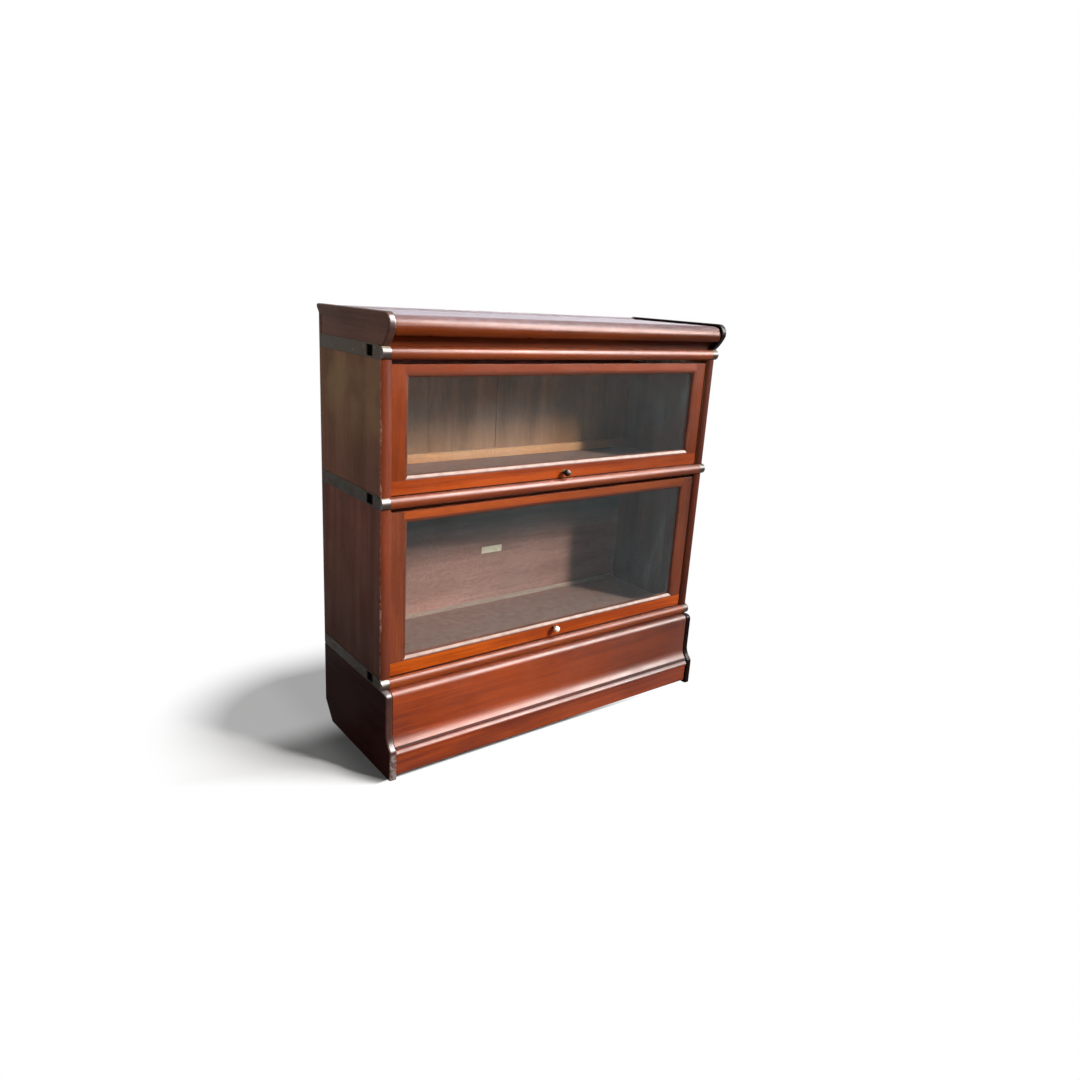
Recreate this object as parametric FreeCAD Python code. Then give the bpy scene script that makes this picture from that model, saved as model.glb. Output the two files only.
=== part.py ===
"""Sectional bookcase: base, two glazed book sections and a cornice, each piece a separate solid.

Millimetres, +Z up, X across the width.  Inside this script Y = 0 is the flat front line of the side
panels and +Y runs to the back; export() moves every solid so that the row's origin is the middle of
the whole footprint on the floor.
"""
import FreeCAD, Part
import math
import os

V = FreeCAD.Vector
AXIS_X = V(1, 0, 0)
AXIS_Y = V(0, 1, 0)
AXIS_Z = V(0, 0, 1)

# ---- driving dimensions: the case ----
overall_width = 864.0
case_depth = 268.0
side_thickness = 22.0
side_front_swell = 5.0
board_thickness = 23.0
nosing_projection = 12.0
front_lap = 6.0

base_height = 180.0
lower_section_height = 367.0
upper_section_height = 272.0
cornice_height = 82.0

# ---- iron bands ----
band_height = 25.0
band_thickness = 2.5
band_proud = 1.0
band_back_margin = 6.0
cap_depth = 10.0
slot_width = 25.0
slot_height = 20.0
slot_front = 29.5
slot_pocket_depth = 8.0
band_screw_head = 6.0
band_screw_shank = 3.0
band_screw_length = 14.0
band_screw_head_height = 1.5
band_screw_depths = (22.0, 66.0, 112.0, 205.0)
band_screw_low = 7.5
band_screw_high = 18.0

# ---- base ----
shank_projection = 26.0
toe_projection = 44.0
toe_height = 58.0
cheek_cove_bottom = 66.0
cheek_cove_top = 96.0
ledge_round = 11.0
cheek_edge_round = 4.0
moulding_shank_projection = 24.0
moulding_toe_projection = 40.0
moulding_cove_bottom = 64.0
moulding_cove_top = 91.0
moulding_back = 6.0
groove_width = 3.0
groove_depth = 3.0
plinth_projection = 39.0
plinth_floor_gap = 7.0
plinth_bead_projection = 42.0
plinth_bead_height = 11.0
plinth_bead_sag = 1.8
plinth_bead_under = 3.0
plinth_bead_under_sag = 0.6
skirting_notch_depth = 34.0
skirting_notch_height = 42.0
base_rail_thickness = 18.0
base_rail_height = 90.0
base_rail_floor_gap = 60.0

# ---- cornice ----
cornice_projection = 30.0
cornice_round = 20.0
cornice_round_under_deg = 42.0
cornice_cove_foot = 8.0
cornice_cove_sag = 4.3
cornice_foot_projection = 2.0
cornice_cheek_foot = 4.0
cornice_cheek_face = 6.0
cornice_cheek_sag = 2.5
cornice_board_drop = 6.0
cornice_top_thickness = 12.0
cornice_back_overhang = 10.0
cornice_overhang_height = 17.0
cornice_rail_thickness = 12.0
cornice_lip_rise = 4.0
cornice_moulding_back = 16.0
cornice_moulding_setback = 4.0
cornice_edge_round = 4.0
cornice_recess_depth = 1.0
cornice_recess_front = 27.0
cornice_recess_back_margin = 8.0
cornice_recess_drop = 20.0
cornice_recess_corner = 18.0
glue_block_size = 28.0
glue_block_length = 60.0

# ---- doors ----
door_side_gap = 1.0
door_bottom_gap = 1.5
door_top_gap = 9.0
door_setback = 3.0
door_thickness = 20.0
stile_width = 28.0
bottom_rail_height = 26.0
top_rail_height = 15.0
front_bead_width = 8.0
front_bead_depth = 5.0
front_bead_lip = 0.6
front_bead_swell = 1.3
front_bead_setback = 0.5
glass_thickness = 3.0
glass_edge_gap = 0.5
back_bead_width = 8.0
back_bead_depth = 8.0
knob_diameter = 15.0
knob_reach = 20.0
knob_neck = 6.0
knob_rose = 10.0
knob_rose_thickness = 1.5
knob_stem = 4.0
lower_knob_height = 20.0
upper_knob_height = 12.5

# ---- carriages and tracks ----
pivot_drop = 8.0
rod_diameter = 6.0
running_clearance = 0.05
track_depth = 8.0
track_height = 18.0
track_wall = 1.2
track_front = 2.0
track_back_margin = 6.0
shoe_clearance = 0.3
shoe_length = 30.0
shoe_front_reach = 10.0

# ---- backs and small parts ----
back_thickness = 8.0
back_inset = 4.0
back_rebate = 6.0
back_fit_gap = 0.5
board_seam_gap = 1.0
back_seam_x = -8.0
stretcher_thickness = 12.0
stretcher_height = 22.0
lower_stop_height = 8.0
upper_stop_height = 20.0
stop_strip_thickness = 8.0
label_length = 58.0
label_height = 16.5
label_thickness = 0.8
label_x = -4.5
label_above_board = 136.0
label_pin_diameter = 2.4
label_pin_margin = 4.0
label_pin_head = 0.5
label_pin_length = 4.0

# ---- places worked out from the driving dimensions ----
outer_x = overall_width / 2 - band_proud
inner_x = outer_x - side_thickness
lap_x = inner_x + front_lap
lower_bottom = base_height
upper_bottom = lower_bottom + lower_section_height
cornice_bottom = upper_bottom + upper_section_height
cornice_top = cornice_bottom + cornice_height
back_front_y = case_depth - back_inset - back_thickness
depth_over_all = toe_projection + case_depth + cornice_back_overhang
case_front_y = toe_projection - depth_over_all / 2
track_end = back_front_y - track_back_margin
pivot_y = door_setback + door_thickness / 2


def box(x_range, y_range, z_range):
    """A block between the given lowest and highest X, Y and Z."""
    size = [high - low for low, high in (x_range, y_range, z_range)]
    return Part.makeBox(*size, V(x_range[0], y_range[0], z_range[0]))


def rod(start, axis, diameter, length):
    """A round bar from the start point along the axis."""
    return Part.makeCylinder(diameter / 2, length, start, axis)


def outline(start, *steps):
    """A closed wire in the YZ plane: each step is an end point, or a (via, end) pair for an arc."""
    edges = []
    here = start
    for step in steps + (start,):
        if isinstance(step[0], tuple):
            via, end = step
            edges.append(Part.Arc(V(0, *here), V(0, *via), V(0, *end)).toShape())
        else:
            end = step
            edges.append(Part.makeLine(V(0, *here), V(0, *end)))
        here = end
    return Part.Wire(edges)


def extrude_x(wire, x_range):
    """The solid swept along X from a closed YZ wire."""
    face = Part.Face(wire)
    face.translate(V(x_range[0], 0, 0))
    return face.extrude(V(x_range[1] - x_range[0], 0, 0))


def arc_point(centre, radius, degrees):
    """The point at an angle on a circle in the YZ plane."""
    angle = math.radians(degrees)
    return (centre[0] + radius * math.cos(angle), centre[1] + radius * math.sin(angle))


def bulge(start, end, sag):
    """The middle of an arc between two points that rises to the left of its chord by sag."""
    run = (end[0] - start[0], end[1] - start[1])
    length = math.hypot(*run)
    middle = ((start[0] + end[0]) / 2, (start[1] + end[1]) / 2)
    return (middle[0] - sag * run[1] / length, middle[1] + sag * run[0] / length)


def mirror_x(shape):
    """The same solid on the other side of the middle."""
    return shape.mirror(V(0, 0, 0), AXIS_X)


def export(name, *solids):
    """Write one node in the row's frame, as one solid or as a group of separate solids."""
    shape = solids[0] if len(solids) == 1 else Part.makeCompound(list(solids))
    moved = shape.copy()
    moved.translate(V(0, case_front_y, 0))
    moved.exportStep("parts/" + name + ".step")


def export_pair(name, right_solid):
    """Write a piece of the right-hand side and its mirror image."""
    export(name + "_right", right_solid)
    export(name + "_left", mirror_x(right_solid))


# ---- iron bands, shared by the lower section, the upper section and the cornice ----
def slot_ranges(bottom):
    """Y and Z limits of the rectangular slot in the band of a section."""
    middle = bottom + band_height / 2
    y_range = (slot_front, slot_front + slot_width)
    return y_range, (middle - slot_height / 2, middle + slot_height / 2)


def band_screw_points(bottom):
    """Outer ends of the band screws on the right side: two high ones in front, two low ones behind."""
    points = []
    for index, y in enumerate(band_screw_depths):
        level = band_screw_high if index < 2 else band_screw_low
        points.append(V(outer_x + band_proud, y, bottom + level))
    return points


def band_screw(point):
    """A countersunk screw driven towards -X, its head flush with the band."""
    head = Part.makeCone(
        band_screw_head / 2, band_screw_shank / 2, band_screw_head_height, point, -AXIS_X
    )
    return head.fuse(rod(point, -AXIS_X, band_screw_shank, band_screw_length)).removeSplitter()


def nose_wire(bottom, back_y):
    """Half-round nosing profile of a board, from its round front to back_y."""
    radius = board_thickness / 2
    centre_y = radius - nosing_projection
    top = bottom + board_thickness
    return outline(
        (back_y, bottom),
        (centre_y, bottom),
        ((centre_y - radius, bottom + radius), (centre_y, top)),
        (back_y, top),
    )


def band(bottom):
    """Right-hand iron band: a strip let into the side, and the nose cap over the board's end."""
    strip = box(
        (outer_x + band_proud - band_thickness, outer_x + band_proud),
        (cap_depth - band_thickness, case_depth - band_back_margin),
        (bottom, bottom + band_height),
    )
    cap = extrude_x(nose_wire(bottom, cap_depth), (lap_x, outer_x + band_proud))
    slot_y, slot_z = slot_ranges(bottom)
    shape = strip.fuse(cap).removeSplitter()
    shape = shape.cut(box((inner_x, outer_x + 2 * band_thickness), slot_y, slot_z))
    for point in band_screw_points(bottom):
        shape = shape.cut(band_screw(point))
    return shape


def cut_for_band(side, bottom):
    """Take the band, its slot pocket and its screws out of a side or cheek."""
    strip = box(
        (outer_x + band_proud - band_thickness, outer_x + band_proud),
        (-nosing_projection, case_depth - band_back_margin),
        (bottom, bottom + band_height),
    )
    cap = box(
        (inner_x, outer_x + band_proud),
        (-toe_projection, cap_depth),
        (bottom, bottom + board_thickness),
    )
    slot_y, slot_z = slot_ranges(bottom)
    pocket = box((outer_x - slot_pocket_depth, outer_x), slot_y, slot_z)
    side = side.cut(strip).cut(cap).cut(pocket)
    for point in band_screw_points(bottom):
        side = side.cut(band_screw(point))
    return side


# ---- base ----
def ledge_line(shank, foot):
    """The top of a base front: rounded over from the ledge, then straight down to foot."""
    centre = (ledge_round - shank, base_height - ledge_round)
    return [
        (centre[0], base_height),
        (arc_point(centre, ledge_round, 135), (-shank, centre[1])),
        (-shank, foot),
    ]


def cheek_front():
    """The front of a base cheek: ledge, shank, and a tangent S curve out to the upright toe."""
    drop = cheek_cove_top - toe_height
    lean = 2 * math.atan2(toe_projection - shank_projection, drop)
    both_radii = drop / math.sin(lean)
    cove_radius = both_radii * (cheek_cove_top - cheek_cove_bottom) / drop
    toe_radius = both_radii - cove_radius
    turn = math.degrees(lean)
    cove_centre = (-shank_projection - cove_radius, cheek_cove_top)
    toe_centre = (toe_radius - toe_projection, toe_height)
    waist = arc_point(cove_centre, cove_radius, -turn)
    return ledge_line(shank_projection, cheek_cove_top) + [
        (arc_point(cove_centre, cove_radius, -turn / 2), waist),
        (arc_point(toe_centre, toe_radius, 180 - turn / 2), (-toe_projection, toe_height)),
    ]


def moulding_front():
    """The front of the base moulding: ledge, shank, deep cove, groove, bead and plinth face."""
    reach = moulding_toe_projection - moulding_shank_projection
    drop = moulding_cove_top - moulding_cove_bottom
    radius = (reach * reach + drop * drop) / (2 * reach)
    centre = (-moulding_shank_projection - radius, moulding_cove_top)
    half_turn = math.degrees(math.asin(drop / radius)) / 2
    groove_y = groove_depth - moulding_toe_projection
    bead_top = (groove_y, moulding_cove_bottom - groove_width)
    bead_lip = (-plinth_bead_projection, bead_top[1] - plinth_bead_height)
    bead_foot = (-plinth_projection, bead_lip[1] - plinth_bead_under)
    return ledge_line(moulding_shank_projection, moulding_cove_top) + [
        (arc_point(centre, radius, -half_turn), (-moulding_toe_projection, moulding_cove_bottom)),
        (groove_y, moulding_cove_bottom),
        bead_top,
        (bulge(bead_top, bead_lip, -plinth_bead_sag), bead_lip),
        (bulge(bead_lip, bead_foot, -plinth_bead_under_sag), bead_foot),
        (-plinth_projection, plinth_floor_gap),
    ]


def round_edges(solid, radius, front_limit, z_range):
    """Round the arrises on both faces of a cheek that start before a depth, between two heights."""
    edges = []
    for edge in solid.Edges:
        bounds = edge.BoundBox
        flat_on_a_face = bounds.XLength < 0.01
        in_front = bounds.YMin < front_limit
        in_height = bounds.ZMin > z_range[0] - 0.01 and bounds.ZMax < z_range[1] + 0.01
        rises = bounds.ZMax > z_range[0] + 0.01
        if flat_on_a_face and in_front and in_height and rises:
            edges.append(edge)
    return solid.makeFillet(radius, edges)


def thicken(cheek, wire, block):
    """Add to a cheek the inner layer of its outline that lies in the block, behind the lapped front."""
    layer = extrude_x(wire, (inner_x, lap_x)).common(block)
    return cheek.fuse(layer).removeSplitter()


def make_base():
    """Two cheeks, the moulded front, a back rail and glue blocks in the corners."""
    wire = outline(
        (case_depth, base_height),
        *cheek_front(),
        (-toe_projection, 0.0),
        (case_depth - skirting_notch_depth, 0.0),
        (case_depth, skirting_notch_height),
    )
    cheek = extrude_x(wire, (lap_x, outer_x))
    cheek = round_edges(cheek, cheek_edge_round, -toe_projection / 2, (0.0, base_height))
    behind = box((inner_x, lap_x), (moulding_back, case_depth), (0.0, base_height))
    export_pair("base_cheek", thicken(cheek, wire, behind))

    moulding = extrude_x(
        outline(
            (moulding_back, base_height),
            *moulding_front(),
            (moulding_back, plinth_floor_gap),
        ),
        (-lap_x, lap_x),
    )
    export("base_front_moulding", moulding)

    rail_back = case_depth - back_inset
    rail_y = (rail_back - base_rail_thickness, rail_back)
    rail_z = (base_rail_floor_gap, base_rail_floor_gap + base_rail_height)
    export("base_back_rail", box((-inner_x, inner_x), rail_y, rail_z))


def glue_block(corner, y_sign, height):
    """An upright three-cornered block in the angle between a right-hand cheek and a board."""
    x, y, z = corner
    points = [
        V(x, y, z),
        V(x - glue_block_size, y, z),
        V(x, y + y_sign * glue_block_size, z),
        V(x, y, z),
    ]
    return Part.Face(Part.makePolygon(points)).extrude(AXIS_Z * height)


def make_glue_blocks():
    """Blocks behind the base moulding, before the base rail, and behind the cornice moulding."""
    rail_front = case_depth - back_inset - base_rail_thickness
    cornice_foot = cornice_bottom + board_thickness
    cornice_block_height = cornice_height - cornice_board_drop - cornice_top_thickness - board_thickness
    blocks = []
    for corner, y_sign, height in (
        ((inner_x, moulding_back, base_height - glue_block_length), 1, glue_block_length),
        ((inner_x, rail_front, base_rail_floor_gap), -1, glue_block_length),
        ((inner_x, cornice_moulding_back, cornice_foot), 1, cornice_block_height),
        ((inner_x, case_depth - cornice_rail_thickness, cornice_foot), -1, cornice_block_height),
    ):
        block = glue_block(corner, y_sign, height)
        blocks += [block, mirror_x(block)]
    export("glue_blocks", *blocks)


# ---- book sections ----
def pivot_level(section_top):
    """Height of the door's hanging rod, which is also the middle of the tracks."""
    return section_top - door_top_gap - pivot_drop


def make_sides(name, bottom, height):
    """Side panels with swelled front edge, band seat, track groove and back rebate."""
    top = bottom + height
    start = V(inner_x, 0, bottom)
    arc = Part.Arc(
        start,
        V((inner_x + outer_x) / 2, -side_front_swell, bottom),
        V(outer_x, 0, bottom),
    ).toShape()
    lines = Part.makePolygon(
        [V(outer_x, 0, bottom), V(outer_x, case_depth, bottom), V(inner_x, case_depth, bottom), start]
    )
    side = Part.Face(Part.Wire([arc] + lines.Edges)).extrude(AXIS_Z * height)
    side = cut_for_band(side, bottom)
    track_z = pivot_level(top)
    side = side.cut(
        box(
            (inner_x, inner_x + track_depth),
            (track_front, track_end),
            (track_z - track_height / 2, track_z + track_height / 2),
        )
    )
    side = side.cut(box((inner_x, inner_x + back_rebate), (back_front_y, case_depth), (bottom, top)))
    export_pair(name + "_side", side)
    export_pair(name + "_band", band(bottom))
    make_tracks(name, track_z)


def make_tracks(name, level):
    """Steel channels let into the side panels, open towards the door."""
    outside = box(
        (inner_x, inner_x + track_depth),
        (track_front, track_end),
        (level - track_height / 2, level + track_height / 2),
    )
    half_inside = track_height / 2 - track_wall
    inside = box(
        (inner_x, inner_x + track_depth - track_wall),
        (track_front + track_wall, track_end - track_wall),
        (level - half_inside, level + half_inside),
    )
    export_pair(name + "_track", outside.cut(inside))


def make_bottom_board(name, bottom):
    """Board between the side panels, with a half-round nosing that laps over their front edges."""
    board = extrude_x(nose_wire(bottom, back_front_y), (-inner_x, inner_x))
    nosing = extrude_x(nose_wire(bottom, cap_depth), (-lap_x, lap_x))
    export(name, board.fuse(nosing).removeSplitter())


def back_panel(x_range, bottom, height):
    """A back panel seated in the rebates of the side panels."""
    return box(
        x_range,
        (back_front_y, back_front_y + back_thickness),
        (bottom + back_fit_gap, bottom + height - back_fit_gap),
    )


def make_lower_section():
    """Taller section: one back panel, with a blank label plate pinned to it."""
    make_sides("lower", lower_bottom, lower_section_height)
    make_bottom_board("lower_bottom_board", lower_bottom)
    back_x = inner_x + back_rebate - back_fit_gap
    back = back_panel((-back_x, back_x), lower_bottom, lower_section_height)
    make_stretcher("lower", upper_bottom)
    make_stop_strip("lower", lower_bottom, lower_stop_height)
    plate_z = lower_bottom + board_thickness + label_above_board
    plate = box(
        (label_x - label_length / 2, label_x + label_length / 2),
        (back_front_y - label_thickness, back_front_y),
        (plate_z - label_height / 2, plate_z + label_height / 2),
    )
    pins = []
    for side in (-1, 1):
        x = label_x + side * (label_length / 2 - label_pin_margin)
        start = V(x, back_front_y - label_thickness, plate_z)
        shank = rod(start, AXIS_Y, label_pin_diameter / 2, label_thickness + label_pin_length)
        head = rod(start, -AXIS_Y, label_pin_diameter, label_pin_head)
        pins.append(shank.fuse(head).removeSplitter())
    for pin in pins:
        plate = plate.cut(pin)
        back = back.cut(pin)
    export("lower_back_panel", back)
    export("label_plate", plate)
    export("label_pins", *pins)


def make_upper_section():
    """Shorter section: two back boards and a stop strip along their foot."""
    make_sides("upper", upper_bottom, upper_section_height)
    make_bottom_board("upper_bottom_board", upper_bottom)
    back_x = inner_x + back_rebate - back_fit_gap
    half_gap = board_seam_gap / 2
    left = back_panel((-back_x, back_seam_x - half_gap), upper_bottom, upper_section_height)
    right = back_panel((back_seam_x + half_gap, back_x), upper_bottom, upper_section_height)
    export("upper_back_board_left", left)
    export("upper_back_board_right", right)
    make_stretcher("upper", cornice_bottom)
    make_stop_strip("upper", upper_bottom, upper_stop_height)


def make_stop_strip(name, bottom, height):
    """Strip along the foot of the back, on top of the bottom board."""
    foot = bottom + board_thickness
    strip = box(
        (-inner_x, inner_x),
        (back_front_y - stop_strip_thickness, back_front_y),
        (foot, foot + height),
    )
    export(name + "_stop_strip", strip)


def make_stretcher(name, top):
    """Stretcher across the top of a section, against its back."""
    stretcher = box(
        (-inner_x, inner_x),
        (back_front_y - stretcher_thickness, back_front_y),
        (top - stretcher_height, top),
    )
    export(name + "_back_stretcher", stretcher)


# ---- doors ----
def mitred_strip(profile_face, length, width):
    """A strip along X with 45 degree ends, its outer edge on the X axis and its width towards +Z."""
    strip = profile_face.copy()
    strip.translate(V(-length / 2, 0, 0))
    strip = strip.extrude(V(length, 0, 0))
    half = length / 2
    corners = [V(-half, -1, 0), V(half, -1, 0), V(half - width, -1, width), V(width - half, -1, width)]
    keep = Part.Face(Part.makePolygon(corners + corners[:1]))
    return strip.common(keep.extrude(AXIS_Y * (door_thickness + 2)))


def bead_frame(profile_face, bead_width, half_width, z_range, y_front):
    """Four mitred strips round an opening, from the profile of the bottom one."""
    middle_z = (z_range[0] + z_range[1]) / 2
    half_height = (z_range[1] - z_range[0]) / 2
    strips = []
    for turn in range(4):
        flat = turn % 2 == 0
        length = 2 * (half_width if flat else half_height)
        reach = half_height if flat else half_width
        strip = mitred_strip(profile_face, length, bead_width)
        strip.translate(V(0, y_front, -reach))
        strip.rotate(V(0, 0, 0), AXIS_Y, 90 * turn)
        strip.translate(V(0, 0, middle_z))
        strips.append(strip)
    return strips


def front_bead_profile():
    """Ovolo profile: thick at the frame, thin at the glass edge."""
    front = (0.0, 0.0)
    lip = (front_bead_depth - front_bead_lip, front_bead_width)
    return Part.Face(
        outline(
            (front_bead_depth, 0.0),
            front,
            (bulge(front, lip, front_bead_swell), lip),
            (front_bead_depth, front_bead_width),
        )
    )


def back_bead_profile():
    """Plain square profile of the beads behind the glass."""
    return Part.Face(
        outline(
            (0.0, 0.0),
            (0.0, back_bead_width),
            (back_bead_depth, back_bead_width),
            (back_bead_depth, 0.0),
        )
    )


def knob(face_y, level):
    """Turned round knob with a rose, a neck and a stem through the bottom rail."""
    radius = knob_diameter / 2
    ball_centre = V(0, face_y - knob_reach + radius, level)
    ball = Part.makeSphere(radius, ball_centre)
    neck = rod(V(0, face_y, level), -AXIS_Y, knob_neck, knob_reach - radius)
    rose = rod(V(0, face_y, level), -AXIS_Y, knob_rose, knob_rose_thickness)
    stem = rod(V(0, face_y, level), AXIS_Y, knob_stem, door_thickness)
    return ball.fuse([neck, rose, stem]).removeSplitter()


def make_door(name, section_bottom, section_height, knob_height):
    """A framed glass door hung on a rod whose shoes slide in the tracks."""
    bottom = section_bottom + board_thickness + door_bottom_gap
    top = section_bottom + section_height - door_top_gap
    half = inner_x - door_side_gap
    opening_x = half - stile_width
    face_y = door_setback
    back_y = face_y + door_thickness
    opening_z = (bottom + bottom_rail_height, top - top_rail_height)
    axis_z = pivot_level(section_bottom + section_height)

    bore = rod(V(-half, pivot_y, axis_z), AXIS_X, rod_diameter + 2 * running_clearance, 2 * half)
    knob_z = bottom + knob_height
    stem_hole = rod(V(0, face_y, knob_z), AXIS_Y, knob_stem, door_thickness)
    bottom_rail = box((-half, half), (face_y, back_y), (bottom, opening_z[0])).cut(stem_hole)
    top_rail = box((-opening_x, opening_x), (face_y, back_y), (opening_z[1], top)).cut(bore)
    stile = box((opening_x, half), (face_y, back_y), (opening_z[0], top)).cut(bore)
    export(name + "_bottom_rail", bottom_rail)
    export(name + "_top_rail", top_rail)
    export_pair(name + "_stile", stile)

    bead_y = face_y + front_bead_setback
    glass_y = bead_y + front_bead_depth
    export(
        name + "_front_beads",
        *bead_frame(front_bead_profile(), front_bead_width, opening_x, opening_z, bead_y)
    )
    glass_x = opening_x - glass_edge_gap
    glass_z = (opening_z[0] + glass_edge_gap, opening_z[1] - glass_edge_gap)
    export(name + "_glass", box((-glass_x, glass_x), (glass_y, glass_y + glass_thickness), glass_z))
    rear_y = glass_y + glass_thickness
    export(
        name + "_back_beads",
        *bead_frame(back_bead_profile(), back_bead_width, opening_x, opening_z, rear_y)
    )
    export(name + "_knob", knob(face_y, knob_z))

    shoe_x = (inner_x + door_side_gap / 4, inner_x + track_depth - track_wall - shoe_clearance)
    half_shoe = track_height / 2 - track_wall - shoe_clearance
    shoe = box(
        shoe_x,
        (pivot_y - shoe_front_reach + shoe_clearance, pivot_y - shoe_front_reach + shoe_length),
        (axis_z - half_shoe, axis_z + half_shoe),
    )
    hanging_rod = rod(V(-shoe_x[1], pivot_y, axis_z), AXIS_X, rod_diameter, 2 * shoe_x[1])
    shoe = shoe.cut(hanging_rod)
    export(name + "_hanging_rod", hanging_rod)
    export_pair(name + "_shoe", shoe)


# ---- cornice ----
def make_cornice():
    """Bottom board, two cheeks, the moulded front, the top board, its back lip and the back rail."""
    foot = cornice_bottom + board_thickness
    board_top = cornice_top - cornice_board_drop
    make_bottom_board("cornice_bottom_board", cornice_bottom)

    top_bottom = board_top - cornice_top_thickness
    board_front = cornice_moulding_back

    wire = outline((case_depth, cornice_bottom), *cornice_cheek_front(foot), *cornice_back())
    cheek = extrude_x(wire, (lap_x, outer_x))
    cheek = round_edges(cheek, cornice_edge_round, case_depth, (foot, cornice_top))
    behind = box((inner_x, lap_x), (board_front, case_depth), (cornice_bottom, top_bottom))
    cheek = thicken(cheek, wire, behind)
    cheek = cut_for_band(cheek, cornice_bottom)
    cheek = cheek.cut(cheek_recess(cornice_bottom + band_height, cornice_top - cornice_recess_drop))
    export_pair("cornice_cheek", cheek)
    export_pair("cornice_band", band(cornice_bottom))

    moulding_line = cornice_moulding_front(board_top, foot)
    moulding = extrude_x(
        outline((board_front, foot), *moulding_line, (board_front, board_top)), (-lap_x, lap_x)
    )
    export("cornice_front_moulding", moulding)
    export(
        "cornice_top_board",
        box((-lap_x, lap_x), (board_front, case_depth), (top_bottom, board_top)),
    )
    lip = extrude_x(
        outline(
            (case_depth, cornice_top - cornice_overhang_height),
            (case_depth, board_top + cornice_lip_rise),
            (case_depth + cornice_back_overhang, board_top + cornice_lip_rise),
            (case_depth + cornice_back_overhang, cornice_top - cornice_board_drop),
        ),
        (-lap_x, lap_x),
    )
    export("cornice_back_lip", lip)
    rail_y = (case_depth - cornice_rail_thickness, case_depth)
    export("cornice_back_rail", box((-inner_x, inner_x), rail_y, (foot, top_bottom)))


def cornice_moulding_front(top, foot):
    """The front line of the cornice moulding: upright foot, hollow, and a round up to the flat top."""
    nose = cornice_moulding_setback - cornice_projection
    heart = (nose + cornice_round, top - cornice_round)
    lower = arc_point(heart, cornice_round, 180 + cornice_round_under_deg)
    neck = (cornice_moulding_setback - cornice_foot_projection, foot + cornice_cove_foot)
    return [
        (neck[0], foot),
        neck,
        (bulge(neck, lower, -cornice_cove_sag), lower),
        (arc_point(heart, cornice_round, 180), (heart[0], top)),
    ]


def cornice_cheek_front(foot):
    """The front line of a cornice cheek: full underside, short upright face and a round top."""
    heart = (cornice_round - cornice_projection, cornice_top - cornice_round)
    start = (-cornice_cheek_foot, foot)
    chin = (-cornice_projection, heart[1] - cornice_cheek_face)
    return [
        (start[0], cornice_bottom),
        start,
        (bulge(start, chin, cornice_cheek_sag), chin),
        (-cornice_projection, heart[1]),
        (arc_point(heart, cornice_round, 135), (heart[0], cornice_top)),
    ]


def cheek_recess(bottom, top):
    """A shallow sunk field on the outer face of a cornice cheek, its upper front corner rounded."""
    front = cornice_recess_front
    back = case_depth - cornice_recess_back_margin
    centre = (front + cornice_recess_corner, top - cornice_recess_corner)
    wire = outline(
        (back, bottom),
        (front, bottom),
        (front, centre[1]),
        (arc_point(centre, cornice_recess_corner, 135), (centre[0], top)),
        (back, top),
    )
    return extrude_x(wire, (outer_x - cornice_recess_depth, outer_x))


def cornice_back():
    """The back line of a cornice cheek: it leans out to the overhang near the top."""
    return [
        (case_depth + cornice_back_overhang, cornice_top),
        (case_depth + cornice_back_overhang, cornice_top - cornice_board_drop),
        (case_depth, cornice_top - cornice_overhang_height),
    ]


# ---- fasteners ----
def make_screws():
    """Countersunk screws that hold the iron bands of every section."""
    screws = []
    for bottom in (lower_bottom, upper_bottom, cornice_bottom):
        for point in band_screw_points(bottom):
            screw = band_screw(point)
            screws += [screw, mirror_x(screw)]
    export("band_screws", *screws)


os.makedirs("parts", exist_ok=True)
make_base()
make_glue_blocks()
make_lower_section()
make_upper_section()
make_door("lower_door", lower_bottom, lower_section_height, lower_knob_height)
make_door("upper_door", upper_bottom, upper_section_height, upper_knob_height)
make_cornice()
make_screws()
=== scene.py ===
"""Two-tier sectional bookcase with hanging glass doors: finishes, soft arrises, studio, camera.

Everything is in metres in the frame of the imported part: X across the width, Y to the back, Z up.
"""

import logging
import math
from dataclasses import dataclass, replace
from enum import Enum
from typing import Any, NamedTuple

import bmesh
import bpy
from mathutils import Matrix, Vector


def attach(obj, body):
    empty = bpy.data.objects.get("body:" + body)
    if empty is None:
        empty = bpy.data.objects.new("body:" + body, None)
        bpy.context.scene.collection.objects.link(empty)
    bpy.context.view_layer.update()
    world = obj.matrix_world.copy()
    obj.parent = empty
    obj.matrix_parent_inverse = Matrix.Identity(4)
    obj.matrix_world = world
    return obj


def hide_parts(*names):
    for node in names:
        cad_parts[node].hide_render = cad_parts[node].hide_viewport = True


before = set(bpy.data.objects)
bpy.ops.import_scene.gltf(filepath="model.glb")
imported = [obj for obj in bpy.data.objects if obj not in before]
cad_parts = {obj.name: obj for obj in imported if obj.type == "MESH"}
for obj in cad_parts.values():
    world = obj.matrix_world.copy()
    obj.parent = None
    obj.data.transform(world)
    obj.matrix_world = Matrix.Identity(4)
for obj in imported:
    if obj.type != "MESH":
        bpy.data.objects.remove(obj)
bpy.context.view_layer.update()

LOG = logging.getLogger("bookcase")
MM = 0.001
Triple = tuple[float, float, float]
Colour = Triple
Socket = Any
WHITE: Colour = (1.0, 1.0, 1.0)
BLACK: Colour = (0.0, 0.0, 0.0)
SIDES = ("left", "right")

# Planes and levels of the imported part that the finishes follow.
FRONT_LINE = -0.117
OUTER_FACE = 0.431
INNER_FACE = OUTER_FACE - 21.5 * MM
KNOB_BACK = FRONT_LINE - 0.005
SLOT_DEPTH = FRONT_LINE + 0.042
SLOT_LEVELS = (0.1925, 0.5595, 0.8315)


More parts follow.
